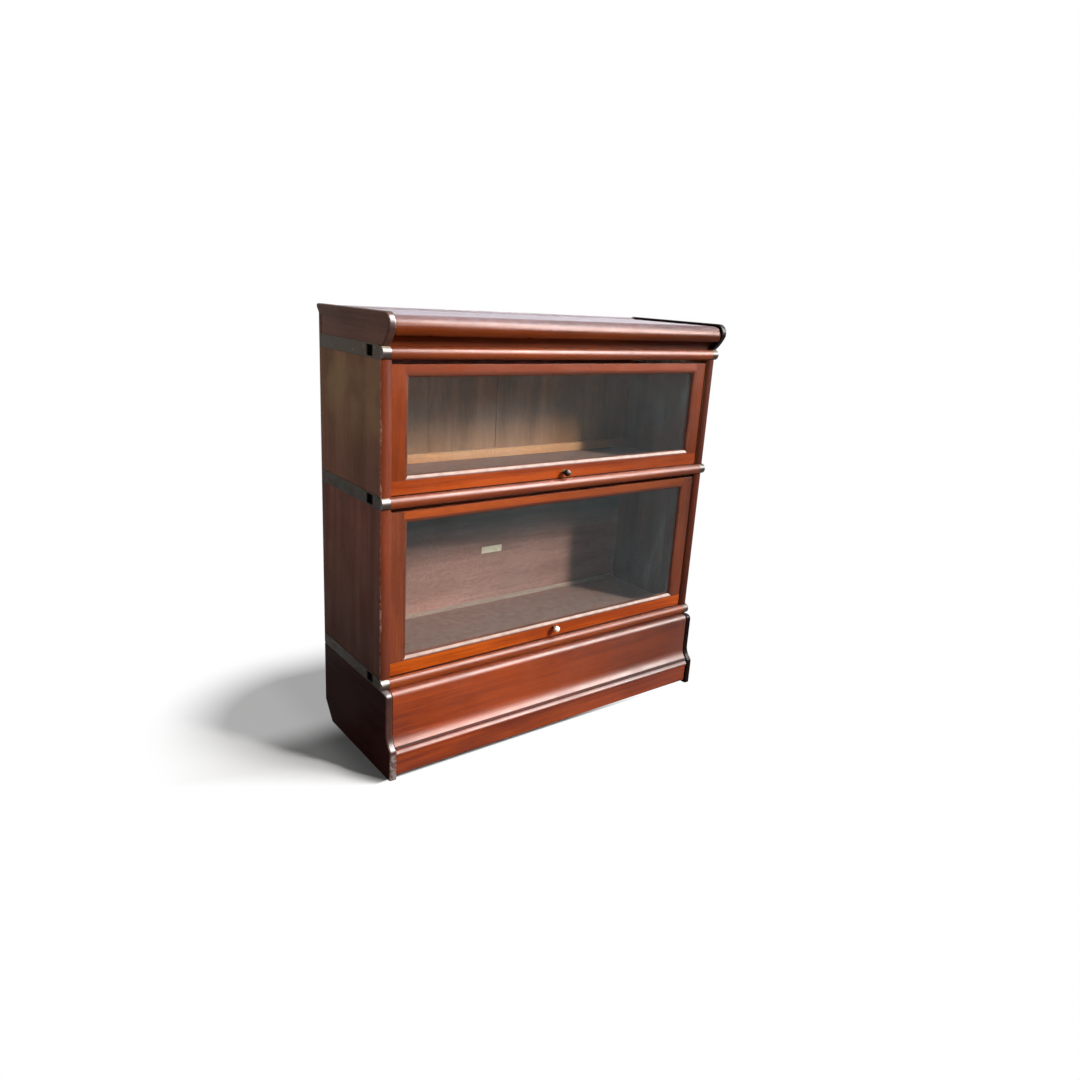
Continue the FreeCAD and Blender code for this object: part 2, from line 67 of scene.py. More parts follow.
def rgba(colour: Colour) -> tuple[float, float, float, float]:
    """Return a colour with full alpha."""
    return (*colour, 1.0)


class GrainRun(Enum):
    """The way the fibres of a board run, as the turn that lays them along X."""

    ACROSS = (0.0, 0.0, 0.0)
    UPRIGHT = (0.0, math.pi / 2, 0.0)
    DEEP = (0.0, 0.0, -math.pi / 2)


class Step(NamedTuple):
    """A smooth step from low at start to high at end; a falling step ends below its start."""

    start: float
    end: float
    low: float = 0.0
    high: float = 1.0


class Cloud(NamedTuple):
    """Noise pushed through a smooth step."""

    scale: float
    detail: float
    distortion: float
    step: Step


class Spot(NamedTuple):
    """Where a shaded point lies in the part's frame; facing is 1 where it faces the front."""

    vector: Socket
    normal: Socket
    across: Socket
    depth: Socket
    level: Socket
    facing: Socket


FACING_FRONT = Step(-0.25, -0.75)
MIDDLE_GREY = 0.5


@dataclass
class NodeSheet:
    """Adds shader nodes to the tree of a material, world or group and joins their sockets."""

    tree: bpy.types.NodeTree

    def feed(self, socket: Socket, value: Any) -> None:
        """Join an input to another socket, or give it a plain value.

        Args:
            socket: The input.
            value: An output socket, a number, a colour or a vector.
        """
        if isinstance(value, bpy.types.NodeSocket):
            self.tree.links.new(value, socket)
        elif isinstance(value, tuple) and len(value) == 3 and socket.type == "RGBA":
            socket.default_value = rgba(value)
        else:
            socket.default_value = value

    def add(self, kind: str, values: dict[int | str, Any] | None = None,
            **settings: Any) -> bpy.types.Node:
        """Add a node.

        Args:
            kind: The node's type name.
            values: What goes to its inputs, by name or number.
            **settings: Attributes to set on it.

        Returns:
            The new node.
        """
        node = self.tree.nodes.new(kind)
        for name, setting in settings.items():
            setattr(node, name, setting)
        for key, value in (values or {}).items():
            self.feed(node.inputs[key], value)
        return node

    def maths(self, operation: str, *values: Any, clamp: bool = False) -> Socket:
        """Return the result of a Math node on one or two values."""
        node = self.add("ShaderNodeMath", dict(enumerate(values)), operation=operation,
                        use_clamp=clamp)
        return node.outputs[0]

    def chain(self, operation: str, values: tuple[Any, ...], clamp: bool = False) -> Socket:
        """Combine values from left to right by Math nodes.

        Args:
            operation: Their operation.
            values: Two or more values.
            clamp: Whether the result is kept between 0 and 1.

        Returns:
            The combined value.
        """
        result = values[0]
        for value in values[1:-1]:
            result = self.maths(operation, result, value)
        return self.maths(operation, result, values[-1], clamp=clamp)

    def product(self, *values: Any, clamp: bool = False) -> Socket:
        """Return the values multiplied together."""
        return self.chain("MULTIPLY", values, clamp)

    def total(self, *values: Any, clamp: bool = False) -> Socket:
        """Return the values added up."""
        return self.chain("ADD", values, clamp)

    def greatest(self, *values: Any) -> Socket:
        """Return the greatest of the values."""
        return self.chain("MAXIMUM", values)

    def less(self, value: Any, taken: Any, clamp: bool = False) -> Socket:
        """Return a value with another taken from it."""
        return self.maths("SUBTRACT", value, taken, clamp=clamp)

    def size(self, value: Any) -> Socket:
        """Return a value without its sign."""
        return self.maths("ABSOLUTE", value)

    def times(self, vector: Any, factors: Triple) -> Socket:
        """Return a vector with each part multiplied by its own factor."""
        node = self.add("ShaderNodeVectorMath", {0: vector, 1: factors}, operation="MULTIPLY")
        return node.outputs[0]

    def noise(self, vector: Any, scale: Any = 1.0, detail: float = 2.0,
              distortion: float = 0.0) -> Socket:
        """Return the grey value of a noise texture."""
        values = {"Vector": vector, "Scale": scale, "Detail": detail, "Distortion": distortion}
        return self.add("ShaderNodeTexNoise", values).outputs["Fac"]

    def window(self, value: Any, start: Any, end: Any, low: Any = 0.0, high: Any = 1.0) -> Socket:
        """Return a value put through a smooth step, whose parts are as in Step."""
        values = {"Value": value, "From Min": start, "From Max": end, "To Min": low, "To Max": high}
        return self.add("ShaderNodeMapRange", values, interpolation_type="SMOOTHSTEP").outputs[0]

    def clouds(self, vector: Any, cloud: Cloud) -> Socket:
        """Return noise pushed through a smooth step."""
        grey = self.noise(vector, cloud.scale, cloud.detail, cloud.distortion)
        return self.window(grey, *cloud.step)

    def mix(self, share: Any, first: Any, second: Any, kind: str = "MIX") -> Socket:
        """Return a colour going over to the second by share, or both combined by kind."""
        values = {"Factor": share, 6: first, 7: second}
        return self.add("ShaderNodeMix", values, data_type="RGBA", blend_type=kind).outputs[2]

    def darken(self, share: Any, colour: Any, shade: Any) -> Socket:
        """Return a colour multiplied by a shade, as far as share says."""
        return self.mix(share, colour, shade, "MULTIPLY")

    def split(self, vector: Any) -> tuple[Socket, Socket, Socket]:
        """Return the X, Y and Z parts of a vector."""
        return tuple(self.add("ShaderNodeSeparateXYZ", {0: vector}).outputs)

    def place(self) -> Socket:
        """Return the place of the shaded point in the part's frame."""
        return self.add("ShaderNodeTexCoord").outputs["Object"]

    def spot(self) -> Spot:
        """Find where the shaded point lies and how it faces.

        Returns:
            The shaded point.
        """
        place = self.add("ShaderNodeTexCoord")
        vector, normal = place.outputs["Object"], place.outputs["Normal"]
        facing = self.window(self.split(normal)[1], *FACING_FRONT)
        return Spot(vector, normal, *self.split(vector), facing)

    def arris(self) -> Socket:
        """Return the mark that soften leaves on arrises."""
        node = self.add("ShaderNodeAttribute", attribute_type="GEOMETRY", attribute_name="arris")
        return node.outputs["Fac"]

    def bump(self, height: Any, depth: float, strength: Any = 1.0, normal: Any = None) -> Socket:
        """Tilt a normal by a height map.

        Args:
            height: The height, from 0 to 1.
            depth: What 1 stands for, in metres.
            strength: How much of the tilt is used.
            normal: The normal to start from, if not the surface's own.

        Returns:
            The tilted normal.
        """
        values = {"Distance": depth, "Strength": strength, "Height": height}
        if normal is not None:
            values["Normal"] = normal
        return self.add("ShaderNodeBump", values).outputs["Normal"]

    def principled(self, values: dict[int | str, Any]) -> Socket:
        """Return a Principled shader with what the values say."""
        return self.add("ShaderNodeBsdfPrincipled", values).outputs[0]

    def matt(self, colour: Any) -> Socket:
        """Return a shader without any gloss."""
        values = {"Base Color": colour, "Roughness": 1.0, "Specular IOR Level": 0.0}
        return self.principled(values)

    def either(self, share: Any, first: Socket, second: Socket) -> Socket:
        """Return the first shader going over to the second by share."""
        return self.add("ShaderNodeMixShader", {0: share, 1: first, 2: second}).outputs[0]

    def seen(self) -> Socket:
        """Return 1 for the rays that show the surroundings as white."""
        path = self.add("ShaderNodeLightPath").outputs
        return self.greatest(path["Is Camera Ray"], path["Is Glossy Ray"],
                             path["Is Transmission Ray"])


def blank_sheet(owner: bpy.types.Material | bpy.types.World) -> NodeSheet:
    """Empty the node tree of a material or a world.

    Args:
        owner: The material or world.

    Returns:
        The sheet of its tree.
    """
    owner.use_nodes = True
    owner.node_tree.nodes.clear()
    return NodeSheet(owner.node_tree)


class EffectGroup:
    """A node group for one effect, built on first use and shared by the finishes.

    Attributes:
        name: The group's name.
        inputs: The default of each input, by name; None stands for a vector.
        outputs: Names of the outputs, of which Color is a colour and the others are numbers.
    """

    name = ""
    inputs: dict[str, Any] = {}
    outputs: tuple[str, ...] = ()

    def draw(self, sheet: NodeSheet, given: dict[str, Socket]) -> dict[str, Any]:
        """Lay out the group's nodes.

        Args:
            sheet: The group's tree.
            given: The group's inputs by name.

        Returns:
            What goes to each output by name.
        """
        raise NotImplementedError

    def tree(self) -> bpy.types.NodeTree:
        """Find the group's tree, or build it the first time.

        Returns:
            The tree.
        """
        known = bpy.data.node_groups.get(self.name)
        if known is not None:
            return known
        tree = bpy.data.node_groups.new(self.name, "ShaderNodeTree")
        for name, value in self.inputs.items():
            kind = "Vector" if value is None else "Color" if isinstance(value, tuple) else "Float"
            socket = tree.interface.new_socket(name, in_out="INPUT",
                                               socket_type=f"NodeSocket{kind}")
            if value is not None:
                socket.default_value = rgba(value) if kind == "Color" else value
        for name in self.outputs:
            kind = "Color" if name == "Color" else "Float"
            tree.interface.new_socket(name, in_out="OUTPUT", socket_type=f"NodeSocket{kind}")
        sheet = NodeSheet(tree)
        entry = sheet.add("NodeGroupInput")
        given = {name: entry.outputs[name] for name in self.inputs}
        sheet.add("NodeGroupOutput", self.draw(sheet, given))
        return tree

    def place(self, sheet: NodeSheet, **values: Any) -> dict[str, Socket]:
        """Put the group into a material and return its outputs by name."""
        node = sheet.add("ShaderNodeGroup", values, node_tree=self.tree())
        return {name: node.outputs[name] for name in self.outputs}


class GrainFigure(EffectGroup):
    """Ribbons, streaks and open pores of a hardwood whose fibres run along X of the vector."""

    name = "grain_figure"
    inputs = {"Vector": None, "Pale": (0.4, 0.1, 0.03), "Deep": (0.2, 0.04, 0.02),
              "Pore": (0.05, 0.01, 0.005), "Figure": 1.0}
    outputs = ("Color", "Height", "Sheen")
    # Waves per metre along the fibres and across them.
    ribbon_waves: Triple = (1.6, 20.0, 20.0)
    streak_waves: Triple = (7.0, 210.0, 210.0)
    fibre_waves: Triple = (38.0, 1300.0, 1300.0)
    ribbon_share = 0.55
    streak_share = 0.20
    cloud_share = 0.25
    contrast = Step(0.36, 0.64)
    open_pores = Step(0.60, 0.70)
    pore_tint = 0.5

    def draw(self, sheet: NodeSheet, given: dict[str, Socket]) -> dict[str, Any]:
        """Lay out the ribbons, streaks and pores.

        Args:
            sheet: The group's tree.
            given: The group's inputs by name.

        Returns:
            What goes to each output by name.
        """
        vector = given["Vector"]
        ribbon = sheet.noise(sheet.times(vector, self.ribbon_waves), detail=3.0, distortion=0.6)
        streak = sheet.noise(sheet.times(vector, self.streak_waves), detail=3.0, distortion=0.3)
        fibre = sheet.noise(sheet.times(vector, self.fibre_waves), detail=1.0)
        cloud = sheet.noise(vector, scale=5.0)
        body = sheet.total(sheet.product(ribbon, self.ribbon_share),
                           sheet.product(streak, self.streak_share),
                           sheet.product(cloud, self.cloud_share))
        spread = sheet.window(body, *self.contrast)
        share = sheet.total(sheet.product(sheet.less(spread, MIDDLE_GREY), given["Figure"]),
                            MIDDLE_GREY, clamp=True)
        tone = sheet.mix(share, given["Deep"], given["Pale"])
        pore = sheet.window(fibre, *self.open_pores)
        colour = sheet.mix(sheet.product(pore, self.pore_tint), tone, given["Pore"])
        return {"Color": colour, "Height": sheet.less(1.0, pore), "Sheen": spread}


class SettledDust(EffectGroup):
    """Pale dust on what faces up and a thin film elsewhere, on some finishes also painted sheen."""

    name = "dust_and_sheen_coat"
    inputs = {"Vector": None, "Normal": None, "Base": (0.3, 0.1, 0.05), "Dust": (0.5, 0.45, 0.4),
              "Amount": 0.5, "Film": 0.05, "Steep": 0.35, "Flat": 0.98}
    outputs = ("Color", "Mask")
    drifts = Cloud(60.0, 5.0, 0.2, Step(0.30, 0.72, 0.66, 1.0))
    smears = Cloud(9.0, 3.0, 0.0, Step(0.35, 0.70, 0.35, 1.4))

    def draw(self, sheet: NodeSheet, given: dict[str, Socket]) -> dict[str, Any]:
        """Lay out the drift and the film.

        Args:
            sheet: The group's tree.
            given: The group's inputs by name.

        Returns:
            What goes to each output by name.
        """
        upward = sheet.window(sheet.split(given["Normal"])[2], given["Steep"], given["Flat"])
        drift = sheet.clouds(given["Vector"], self.drifts)
        lying = sheet.product(upward, drift, given["Amount"])
        film = sheet.product(sheet.clouds(given["Vector"], self.smears), given["Film"])
        mask = sheet.total(lying, film, clamp=True)
        return {"Color": sheet.mix(mask, given["Base"], given["Dust"]), "Mask": mask}


class RubbedArris(EffectGroup):
    """Finish rubbed thin or chipped away along an arris that a mask marks."""

    name = "rubbed_arris"
    inputs = {"Vector": None, "Base": (0.3, 0.1, 0.05), "Bare": (0.6, 0.4, 0.3), "Arris": 0.0,
              "Wear": 0.5}
    outputs = ("Color", "Mask")
    rubs = Cloud(60.0, 3.0, 0.0, Step(0.42, 0.66))
    chips = Cloud(210.0, 1.0, 0.0, Step(0.60, 0.68))

    def draw(self, sheet: NodeSheet, given: dict[str, Socket]) -> dict[str, Any]:
        """Lay out the rubbed line and its chips.

        Args:
            sheet: The group's tree.
            given: The group's inputs by name.

        Returns:
            What goes to each output by name.
        """
        rub, chip = (sheet.product(sheet.clouds(given["Vector"], cloud), given["Wear"])
                     for cloud in (self.rubs, self.chips))
        mask = sheet.product(sheet.greatest(rub, chip), given["Arris"], clamp=True)
        return {"Color": sheet.mix(mask, given["Base"], given["Bare"]), "Mask": mask}


class GlassGrime(EffectGroup):
    """Haze, wipe marks and specks on an old pane."""

    name = "glass_grime"
    inputs = {"Vector": None, "Haze": 0.05}
    outputs = ("Color", "Mask")
    patches = Cloud(11.0, 4.0, 0.6, Step(0.30, 0.72, 0.75, 1.3))
    mottle = Cloud(75.0, 4.0, 0.5, Step(0.35, 0.70, 0.8, 1.25))
    wipe_waves: Triple = (26.0, 0.0, 5.0)
    wipe_marks = Step(0.52, 0.72)
    wiped_side = Step(0.22, 0.36, 0.0, 0.028)
    cell_scale = 42.0
    empty_cells = 0.90
    speck_size = Step(0.060, 0.025)
    speck_cover = 0.4
    film_colour: Colour = (0.36, 0.53, 0.58)
    speck_colour: Colour = (0.75, 0.68, 0.60)

    def draw(self, sheet: NodeSheet, given: dict[str, Socket]) -> dict[str, Any]:
        """Lay out the haze, the marks left by a cloth and the specks.

        Args:
            sheet: The group's tree.
            given: The group's inputs by name.

        Returns:
            What goes to each output by name.
        """
        vector = given["Vector"]
        haze = sheet.clouds(vector, self.patches)
        film = sheet.product(haze, sheet.clouds(vector, self.mottle), given["Haze"])
        wiped = sheet.noise(sheet.times(vector, self.wipe_waves), detail=3.0, distortion=1.6)
        side = sheet.window(sheet.split(vector)[0], *self.wiped_side)
        wipe = sheet.product(sheet.window(wiped, *self.wipe_marks), side)
        flat = sheet.times(vector, (1.0, 0.0, 1.0))
        cells = sheet.add("ShaderNodeTexVoronoi", {"Vector": flat, "Scale": self.cell_scale},
                          feature="F1").outputs
        rare = sheet.maths("GREATER_THAN", sheet.split(cells["Color"])[0], self.empty_cells)
        speck = sheet.product(sheet.window(cells["Distance"], *self.speck_size), rare)
        mask = sheet.total(film, wipe, sheet.product(speck, self.speck_cover), clamp=True)
        return {"Color": sheet.mix(speck, self.film_colour, self.speck_colour), "Mask": mask}


class Tarnish(EffectGroup):
    """Patchy dulling of metal or of old enamel."""

    name = "tarnish"
    inputs = {"Vector": None, "Bright": (0.6, 0.5, 0.3), "Dull": (0.2, 0.15, 0.08),
              "Scale": 90.0, "Share": 0.5}
    outputs = ("Color", "Roughness", "Height")
    patches = Step(0.30, 0.70)
    patch_weight = 0.8
    roughness = Step(0.0, 1.0, 0.28, 0.62)

    def draw(self, sheet: NodeSheet, given: dict[str, Socket]) -> dict[str, Any]:
        """Lay out the patches.

        Args:
            sheet: The group's tree.
            given: The group's inputs by name.

        Returns:
            What goes to each output by name.
        """
        texture = sheet.noise(given["Vector"], given["Scale"], detail=4.0)
        patch = sheet.product(sheet.window(texture, *self.patches), self.patch_weight)
        mask = sheet.total(patch, sheet.less(given["Share"], MIDDLE_GREY), clamp=True)
        return {
            "Color": sheet.mix(mask, given["Bright"], given["Dull"]),
            "Roughness": sheet.window(mask, *self.roughness),
            "Height": texture,
        }


GRAIN = GrainFigure()
DUST_AND_SHEEN = SettledDust()
RUBBED = RubbedArris()
GRIME = GlassGrime()
TARNISH = Tarnish()


@dataclass(frozen=True)
class Finish:
    """A finish that makes one material, kept for every piece that has it."""

    name: str

    def dress(self, sheet: NodeSheet) -> Socket:
        """Lay out the material's nodes.

        Args:
            sheet: The material's tree.

        Returns:
            The shader of the surface.
        """
        raise NotImplementedError

    def material(self) -> bpy.types.Material:
        """Find the material, or build it the first time.

        Returns:
            The material.
        """
        known = bpy.data.materials.get(self.name)
        if known is not None:
            return known
        material = bpy.data.materials.new(self.name)
        sheet = blank_sheet(material)
        sheet.add("ShaderNodeOutputMaterial", {"Surface": self.dress(sheet)})
        return material


# Painted shade, painted sheen, darkened arrises and dust on the hardwood.
CONTACT_SHADE: Colour = (0.16, 0.09, 0.08)
GROOVE_SHADE: Colour = (0.22, 0.12, 0.10)
ARRIS_DARKENING: Colour = (0.22, 0.10, 0.09)
POCKET_SHADE: Colour = (0.01, 0.01, 0.01)
CONTACT_FRONT = Step(FRONT_LINE - 2.5 * MM, FRONT_LINE)
CONTACT_BACK = Step(FRONT_LINE + 30 * MM, FRONT_LINE + 22 * MM)
LOW_SPAN = (0.20, 0.50)
FILM_RISE = 0.12
FILM_LEAST = 0.1
DUST_AND_SHEEN_SPAN = 0.03
SHADE_START = -0.3
PLINTH_SHADE = 0.80
PLINTH_EDGE = 2 * MM
GROOVE_EDGE = (0.8 * MM, -0.4 * MM)

# The pockets behind the slots of the bands, painted black as shade: in from the outer face, along
# the band and up.
POCKET_MOUTH = Step(0.5 * MM, 1.5 * MM)
POCKET_FLOOR = Step(11 * MM, 9 * MM)
POCKET_LENGTH = Step(15 * MM, 13 * MM)
POCKET_HEIGHT = Step(12 * MM, 10.5 * MM)

# Chips along the front edge of a panel, and scuffs at its foot.
CHIP_SIDE = OUTER_FACE - 0.4 * MM
CHIP_FRONT = FRONT_LINE + 0.6 * MM
CHIPPED_PARTS = Cloud(11.0, 2.0, 0.0, Step(0.56, 0.66))
CHIP_SCALE = 95.0
CHIP_DEPTH = 3.4 * MM
SCUFFS = Cloud(120.0, 4.0, 0.8, Step(0.42, 0.62, 0.1, 0.6))
SCUFFED_SIDE = Step(0.2, 0.0)
SCUFF_FADE = 4 * MM

# Varnish and relief.
SMEAR_SCALE = 16.0
ROUGH_SPREAD = 0.08
PORE_COLOUR: Colour = (0.06, 0.012, 0.006)
DUST_AND_SHEEN_ROUGHNESS = 0.5
FAR_ROUGH_SPAN = (-0.2, 0.2)
COAT_ROUGHNESS = 0.34
FAR_COAT = 0.12
PORE_DEPTH = 0.06 * MM
PORE_RELIEF = 0.5
BEAD_DEPTH = 2.8 * MM


@dataclass(frozen=True)
class Wood(Finish):
    """What all woods share.

    Attributes:
        pale, deep: Colours of the grain.
        run, shift, figure: Way of the fibres, place in the tree and strength of the figure.
        far_shade: The painted shade that the colour falls to at the right side.
    """

    pale: Colour
    deep: Colour
    run: GrainRun = GrainRun.ACROSS
    shift: Triple = (0.0, 0.0, 0.0)
    figure: float = 1.0
    far_shade: float = 1.0

    def grain(self, sheet: NodeSheet, spot: Spot, **colours: Any) -> dict[str, Socket]:
        """Lay the grain along the fibres.

        Args:
            sheet: The material's tree.
            spot: The shaded point.
            **colours: Its Pale, Deep and Pore colours.

        Returns:
            The grain's outputs by name.
        """
        values = {"Vector": spot.vector, "Rotation": self.run.value, "Location": self.shift}
        turned = sheet.add("ShaderNodeMapping", values).outputs[0]
        return GRAIN.place(sheet, Vector=turned, Figure=self.figure, **colours)


@dataclass(frozen=True)
class Hardwood(Wood):
    """Varnished reddish hardwood.

    Attributes:
        rough, far_rough: Roughness, and what the right side adds to it.
        gloss, shine, front_coat: Reflection, its tint and the coat on what faces the front.
        contact: Whether shade is painted where the door meets the board.
        quirk, bead: Foot and top of a groove in the moulding painted dark as shade, and of a
            rounding.
        slot: Whether the pockets behind the slots of the bands are painted black as shade.
        low_shade: The painted shade that the colour falls to low down.
        film_above, scuffed_below: Level where the film of dust and painted sheen begins, and
            where scuffs end.
        dust...: Colour, amounts in front and inside, film and slopes of the pale coat: dust,
            on the bead and cheeks also a painted highlight, on the cornice, top and lip also a
            painted sky reflection.
        bare, wear: Colour and amount of the rubbed arrises.
        front: Pale and deep colours of what faces the front.
        panel: Whether it is a side panel, with chips along its front edge.
    """

    rough: float = 0.30
    far_rough: float = 0.0
    gloss: float = 0.075
    shine: Colour = (1.0, 0.90, 0.86)
    front_coat: float = 0.0
    contact: bool = False
    quirk: tuple[float, float] | None = None
    bead: tuple[float, float] | None = None
    slot: bool = False
    low_shade: float = 1.0
    film_above: float | None = None
    scuffed_below: float | None = None
    dust_and_sheen: Colour = (0.52, 0.44, 0.42)
    dust_and_sheen_amount: float = 0.12
    dust_and_sheen_inside: float = 0.12
    dust_and_sheen_film: float = 0.004
    dust_and_sheen_slopes: tuple[float, float] = (0.35, 0.98)
    bare: Colour = (0.62, 0.36, 0.24)
    wear: float = 0.45
    front: tuple[Colour, Colour] | None = None
    panel: bool = False

    def timber(self, sheet: NodeSheet, spot: Spot) -> dict[str, Any]:
        """Lay out the bare wood.

        Args:
            sheet: The material's tree.
            spot: The shaded point.

        Returns:
            The grain's outputs, with the strength of its relief as Relief.
        """
        pore: Any = PORE_COLOUR
        relief: Any = PORE_RELIEF
        if self.panel:
            outside = sheet.maths("GREATER_THAN", sheet.size(spot.across), INNER_FACE)
            pore = sheet.mix(outside, self.deep, PORE_COLOUR)
            relief = sheet.product(outside, PORE_RELIEF)
        pale: Any = self.pale
        deep: Any = self.deep
        if self.front is not None:
            pale = sheet.mix(spot.facing, self.pale, self.front[0])
            deep = sheet.mix(spot.facing, self.deep, self.front[1])
        return {**self.grain(sheet, spot, Pale=pale, Deep=deep, Pore=pore), "Relief": relief}

    def groove(self, sheet: NodeSheet, spot: Spot) -> Socket | None:
        """Find the quirk.

        Args:
            sheet: The material's tree.
            spot: The shaded point.

        Returns:
            Where it is, or None if there is none.
        """
        if self.quirk is None:
            return None
        foot, top = self.quirk
        near = sheet.size(sheet.less(spot.level, (foot + top) / 2))
        half = (top - foot) / 2
        return sheet.window(near, *(half + edge for edge in GROOVE_EDGE))

    def soiled(self, sheet: NodeSheet, spot: Spot, tone: Socket, groove: Socket | None) -> Socket:
        """Paint shade where the door meets the board, in the groove and low down.

        Args:
            sheet: The material's tree.
            spot: The shaded point.
            tone: The wood's colour.
            groove: Where the quirk is, if there is one.

        Returns:
            The colour with the painted shade.
        """
        # Painted shade in the crease where the door meets the board.
        if self.contact:
            under = sheet.product(sheet.window(spot.depth, *CONTACT_FRONT),
                                  sheet.window(spot.depth, *CONTACT_BACK))
            tone = sheet.darken(under, tone, CONTACT_SHADE)
        # Painted shade in the groove.
        if groove is not None:
            tone = sheet.darken(groove, tone, GROOVE_SHADE)
        # Painted shade, darker towards the bottom.
        if self.low_shade < 1.0:
            tone = sheet.darken(1.0, tone, sheet.window(spot.level, *LOW_SPAN, self.low_shade))
        return tone

    def worn_edges(self, sheet: NodeSheet, spot: Spot) -> Socket:
        """Find the arrises and the chips along a panel's front edge.

        Args:
            sheet: The material's tree.
            spot: The shaded point.

        Returns:
            Where they are.
        """
        marked = sheet.arris()
        if not self.panel:
            return marked
        ragged = sheet.product(sheet.noise(spot.vector, CHIP_SCALE),
                               sheet.clouds(spot.vector, CHIPPED_PARTS), CHIP_DEPTH)
        outward = sheet.total(sheet.size(spot.across), ragged)
        near_face = sheet.maths("GREATER_THAN", outward, CHIP_SIDE)
        near_front = sheet.maths("LESS_THAN", sheet.less(spot.depth, ragged), CHIP_FRONT)
        return sheet.greatest(marked, sheet.product(near_face, near_front))

    def lay_dust_and_sheen(self, sheet: NodeSheet, spot: Spot, base: Socket) -> dict[str, Socket]:
        """Lay dust and its film on the wood, on some finishes also as painted sheen.

        Args:
            sheet: The material's tree.
            spot: The shaded point.
            base: The colour under them.

        Returns:
            The colour and the dust's mask, by name.
        """
        amount = sheet.window(spot.depth, FRONT_LINE, FRONT_LINE + DUST_AND_SHEEN_SPAN, self.dust_and_sheen_amount,
                              self.dust_and_sheen_inside)
        film: Any = self.dust_and_sheen_film
        if self.film_above is not None:
            film = sheet.window(spot.level, self.film_above, self.film_above + FILM_RISE,
                                FILM_LEAST * self.dust_and_sheen_film, self.dust_and_sheen_film)
            film = sheet.product(film, sheet.less(1.0, spot.facing))
        steep, flat = self.dust_and_sheen_slopes
        return DUST_AND_SHEEN.place(sheet, Vector=spot.vector, Normal=spot.normal, Base=base, Dust=self.dust_and_sheen,
                          Amount=amount, Film=film, Steep=steep, Flat=flat)

    def shade(self, sheet: NodeSheet, spot: Spot) -> Socket:
        """Let the light fall off to the right side, except on a plinth.

        Args:
            sheet: The material's tree.
            spot: The shaded point.

        Returns:
            The shade.
        """
        shade = sheet.window(spot.across, SHADE_START, OUTER_FACE, 1.0, self.far_shade)
        if self.panel:
            shade = sheet.greatest(shade, sheet.less(1.0, spot.facing))
        if self.bead is not None:
            foot = self.bead[0]
            plinth = sheet.window(spot.level, foot + PLINTH_EDGE, foot - PLINTH_EDGE, 0.0,
                                  PLINTH_SHADE)
            shade = sheet.greatest(shade, plinth)
        return shade

    def marked(self, sheet: NodeSheet, spot: Spot, colour: Socket, rubbed: Socket) -> Socket:
        """Add scuffs, darkened arrises and the pockets behind the slots painted black as shade.

        Args:
            sheet: The material's tree.
            spot: The shaded point.
            colour: The colour under them.
            rubbed: Where the arrises are rubbed.

        Returns:
            The marked colour.
        """
        if self.scuffed_below is not None:
            low = sheet.window(spot.level, self.scuffed_below + SCUFF_FADE,
                               self.scuffed_below - SCUFF_FADE)
            scuff = sheet.product(sheet.clouds(spot.vector, SCUFFS),
                                  sheet.window(spot.across, *SCUFFED_SIDE))
            colour = sheet.mix(sheet.product(low, spot.facing, scuff), colour, self.dust_and_sheen)
        # Arrises of the panels that are not rubbed are painted darker.
        if self.panel:
            unrubbed = sheet.less(sheet.arris(), rubbed, clamp=True)
            colour = sheet.darken(unrubbed, colour, ARRIS_DARKENING)
        if not self.slot:
            return colour
        # Pockets behind the slots, painted black as shade.
        inward = sheet.less(OUTER_FACE, sheet.size(spot.across))
        along = sheet.size(sheet.less(spot.depth, SLOT_DEPTH))
        nearest: Any = 1.0
        for level in SLOT_LEVELS:
            off = sheet.size(sheet.less(spot.level, level))
            nearest = sheet.maths("MINIMUM", nearest, off)
        pocket = sheet.product(*(sheet.window(value, *step) for value, step in (
            (inward, POCKET_MOUTH), (inward, POCKET_FLOOR), (along, POCKET_LENGTH),
            (nearest, POCKET_HEIGHT))))
        return sheet.mix(pocket, colour, POCKET_SHADE)

    def roughness(self, sheet: NodeSheet, spot: Spot, dust_and_sheen: Socket,
                  groove: Socket | None) -> Socket:
        """Roughen the varnish by dust, in the groove and at the right side.

        Args:
            sheet: The material's tree.
            spot: The shaded point.
            dust_and_sheen: Where dust and painted sheen lie.
            groove: Where the quirk is, if there is one.

        Returns:
            The roughness.
        """
        smears = Step(0.3, 0.7, self.rough, self.rough + ROUGH_SPREAD)
        rough = sheet.clouds(spot.vector, Cloud(SMEAR_SCALE, 3.0, 0.0, smears))
        rough = sheet.total(rough, sheet.product(dust_and_sheen, DUST_AND_SHEEN_ROUGHNESS), clamp=True)
        if self.far_rough > 0.0:
            far = sheet.window(spot.across, *FAR_ROUGH_SPAN, 0.0, self.far_rough)
            rough = sheet.total(rough, far, clamp=True)
        if groove is not None:
            rough = sheet.total(rough, groove, clamp=True)
        return rough

    def dress(self, sheet: NodeSheet) -> Socket:
        """Lay out grain, wear, dust and varnish.

        Args:
            sheet: The material's tree.

        Returns:
            The shader of the surface.
        """
        spot = sheet.spot()
        groove = self.groove(sheet, spot)
        grain = self.timber(sheet, spot)
        tone = self.soiled(sheet, spot, grain["Color"], groove)
        rubbed = RUBBED.place(sheet, Vector=spot.vector, Base=tone, Bare=self.bare,
                              Arris=self.worn_edges(sheet, spot), Wear=self.wear)
        dust_and_sheen_laid = self.lay_dust_and_sheen(sheet, spot, rubbed["Color"])
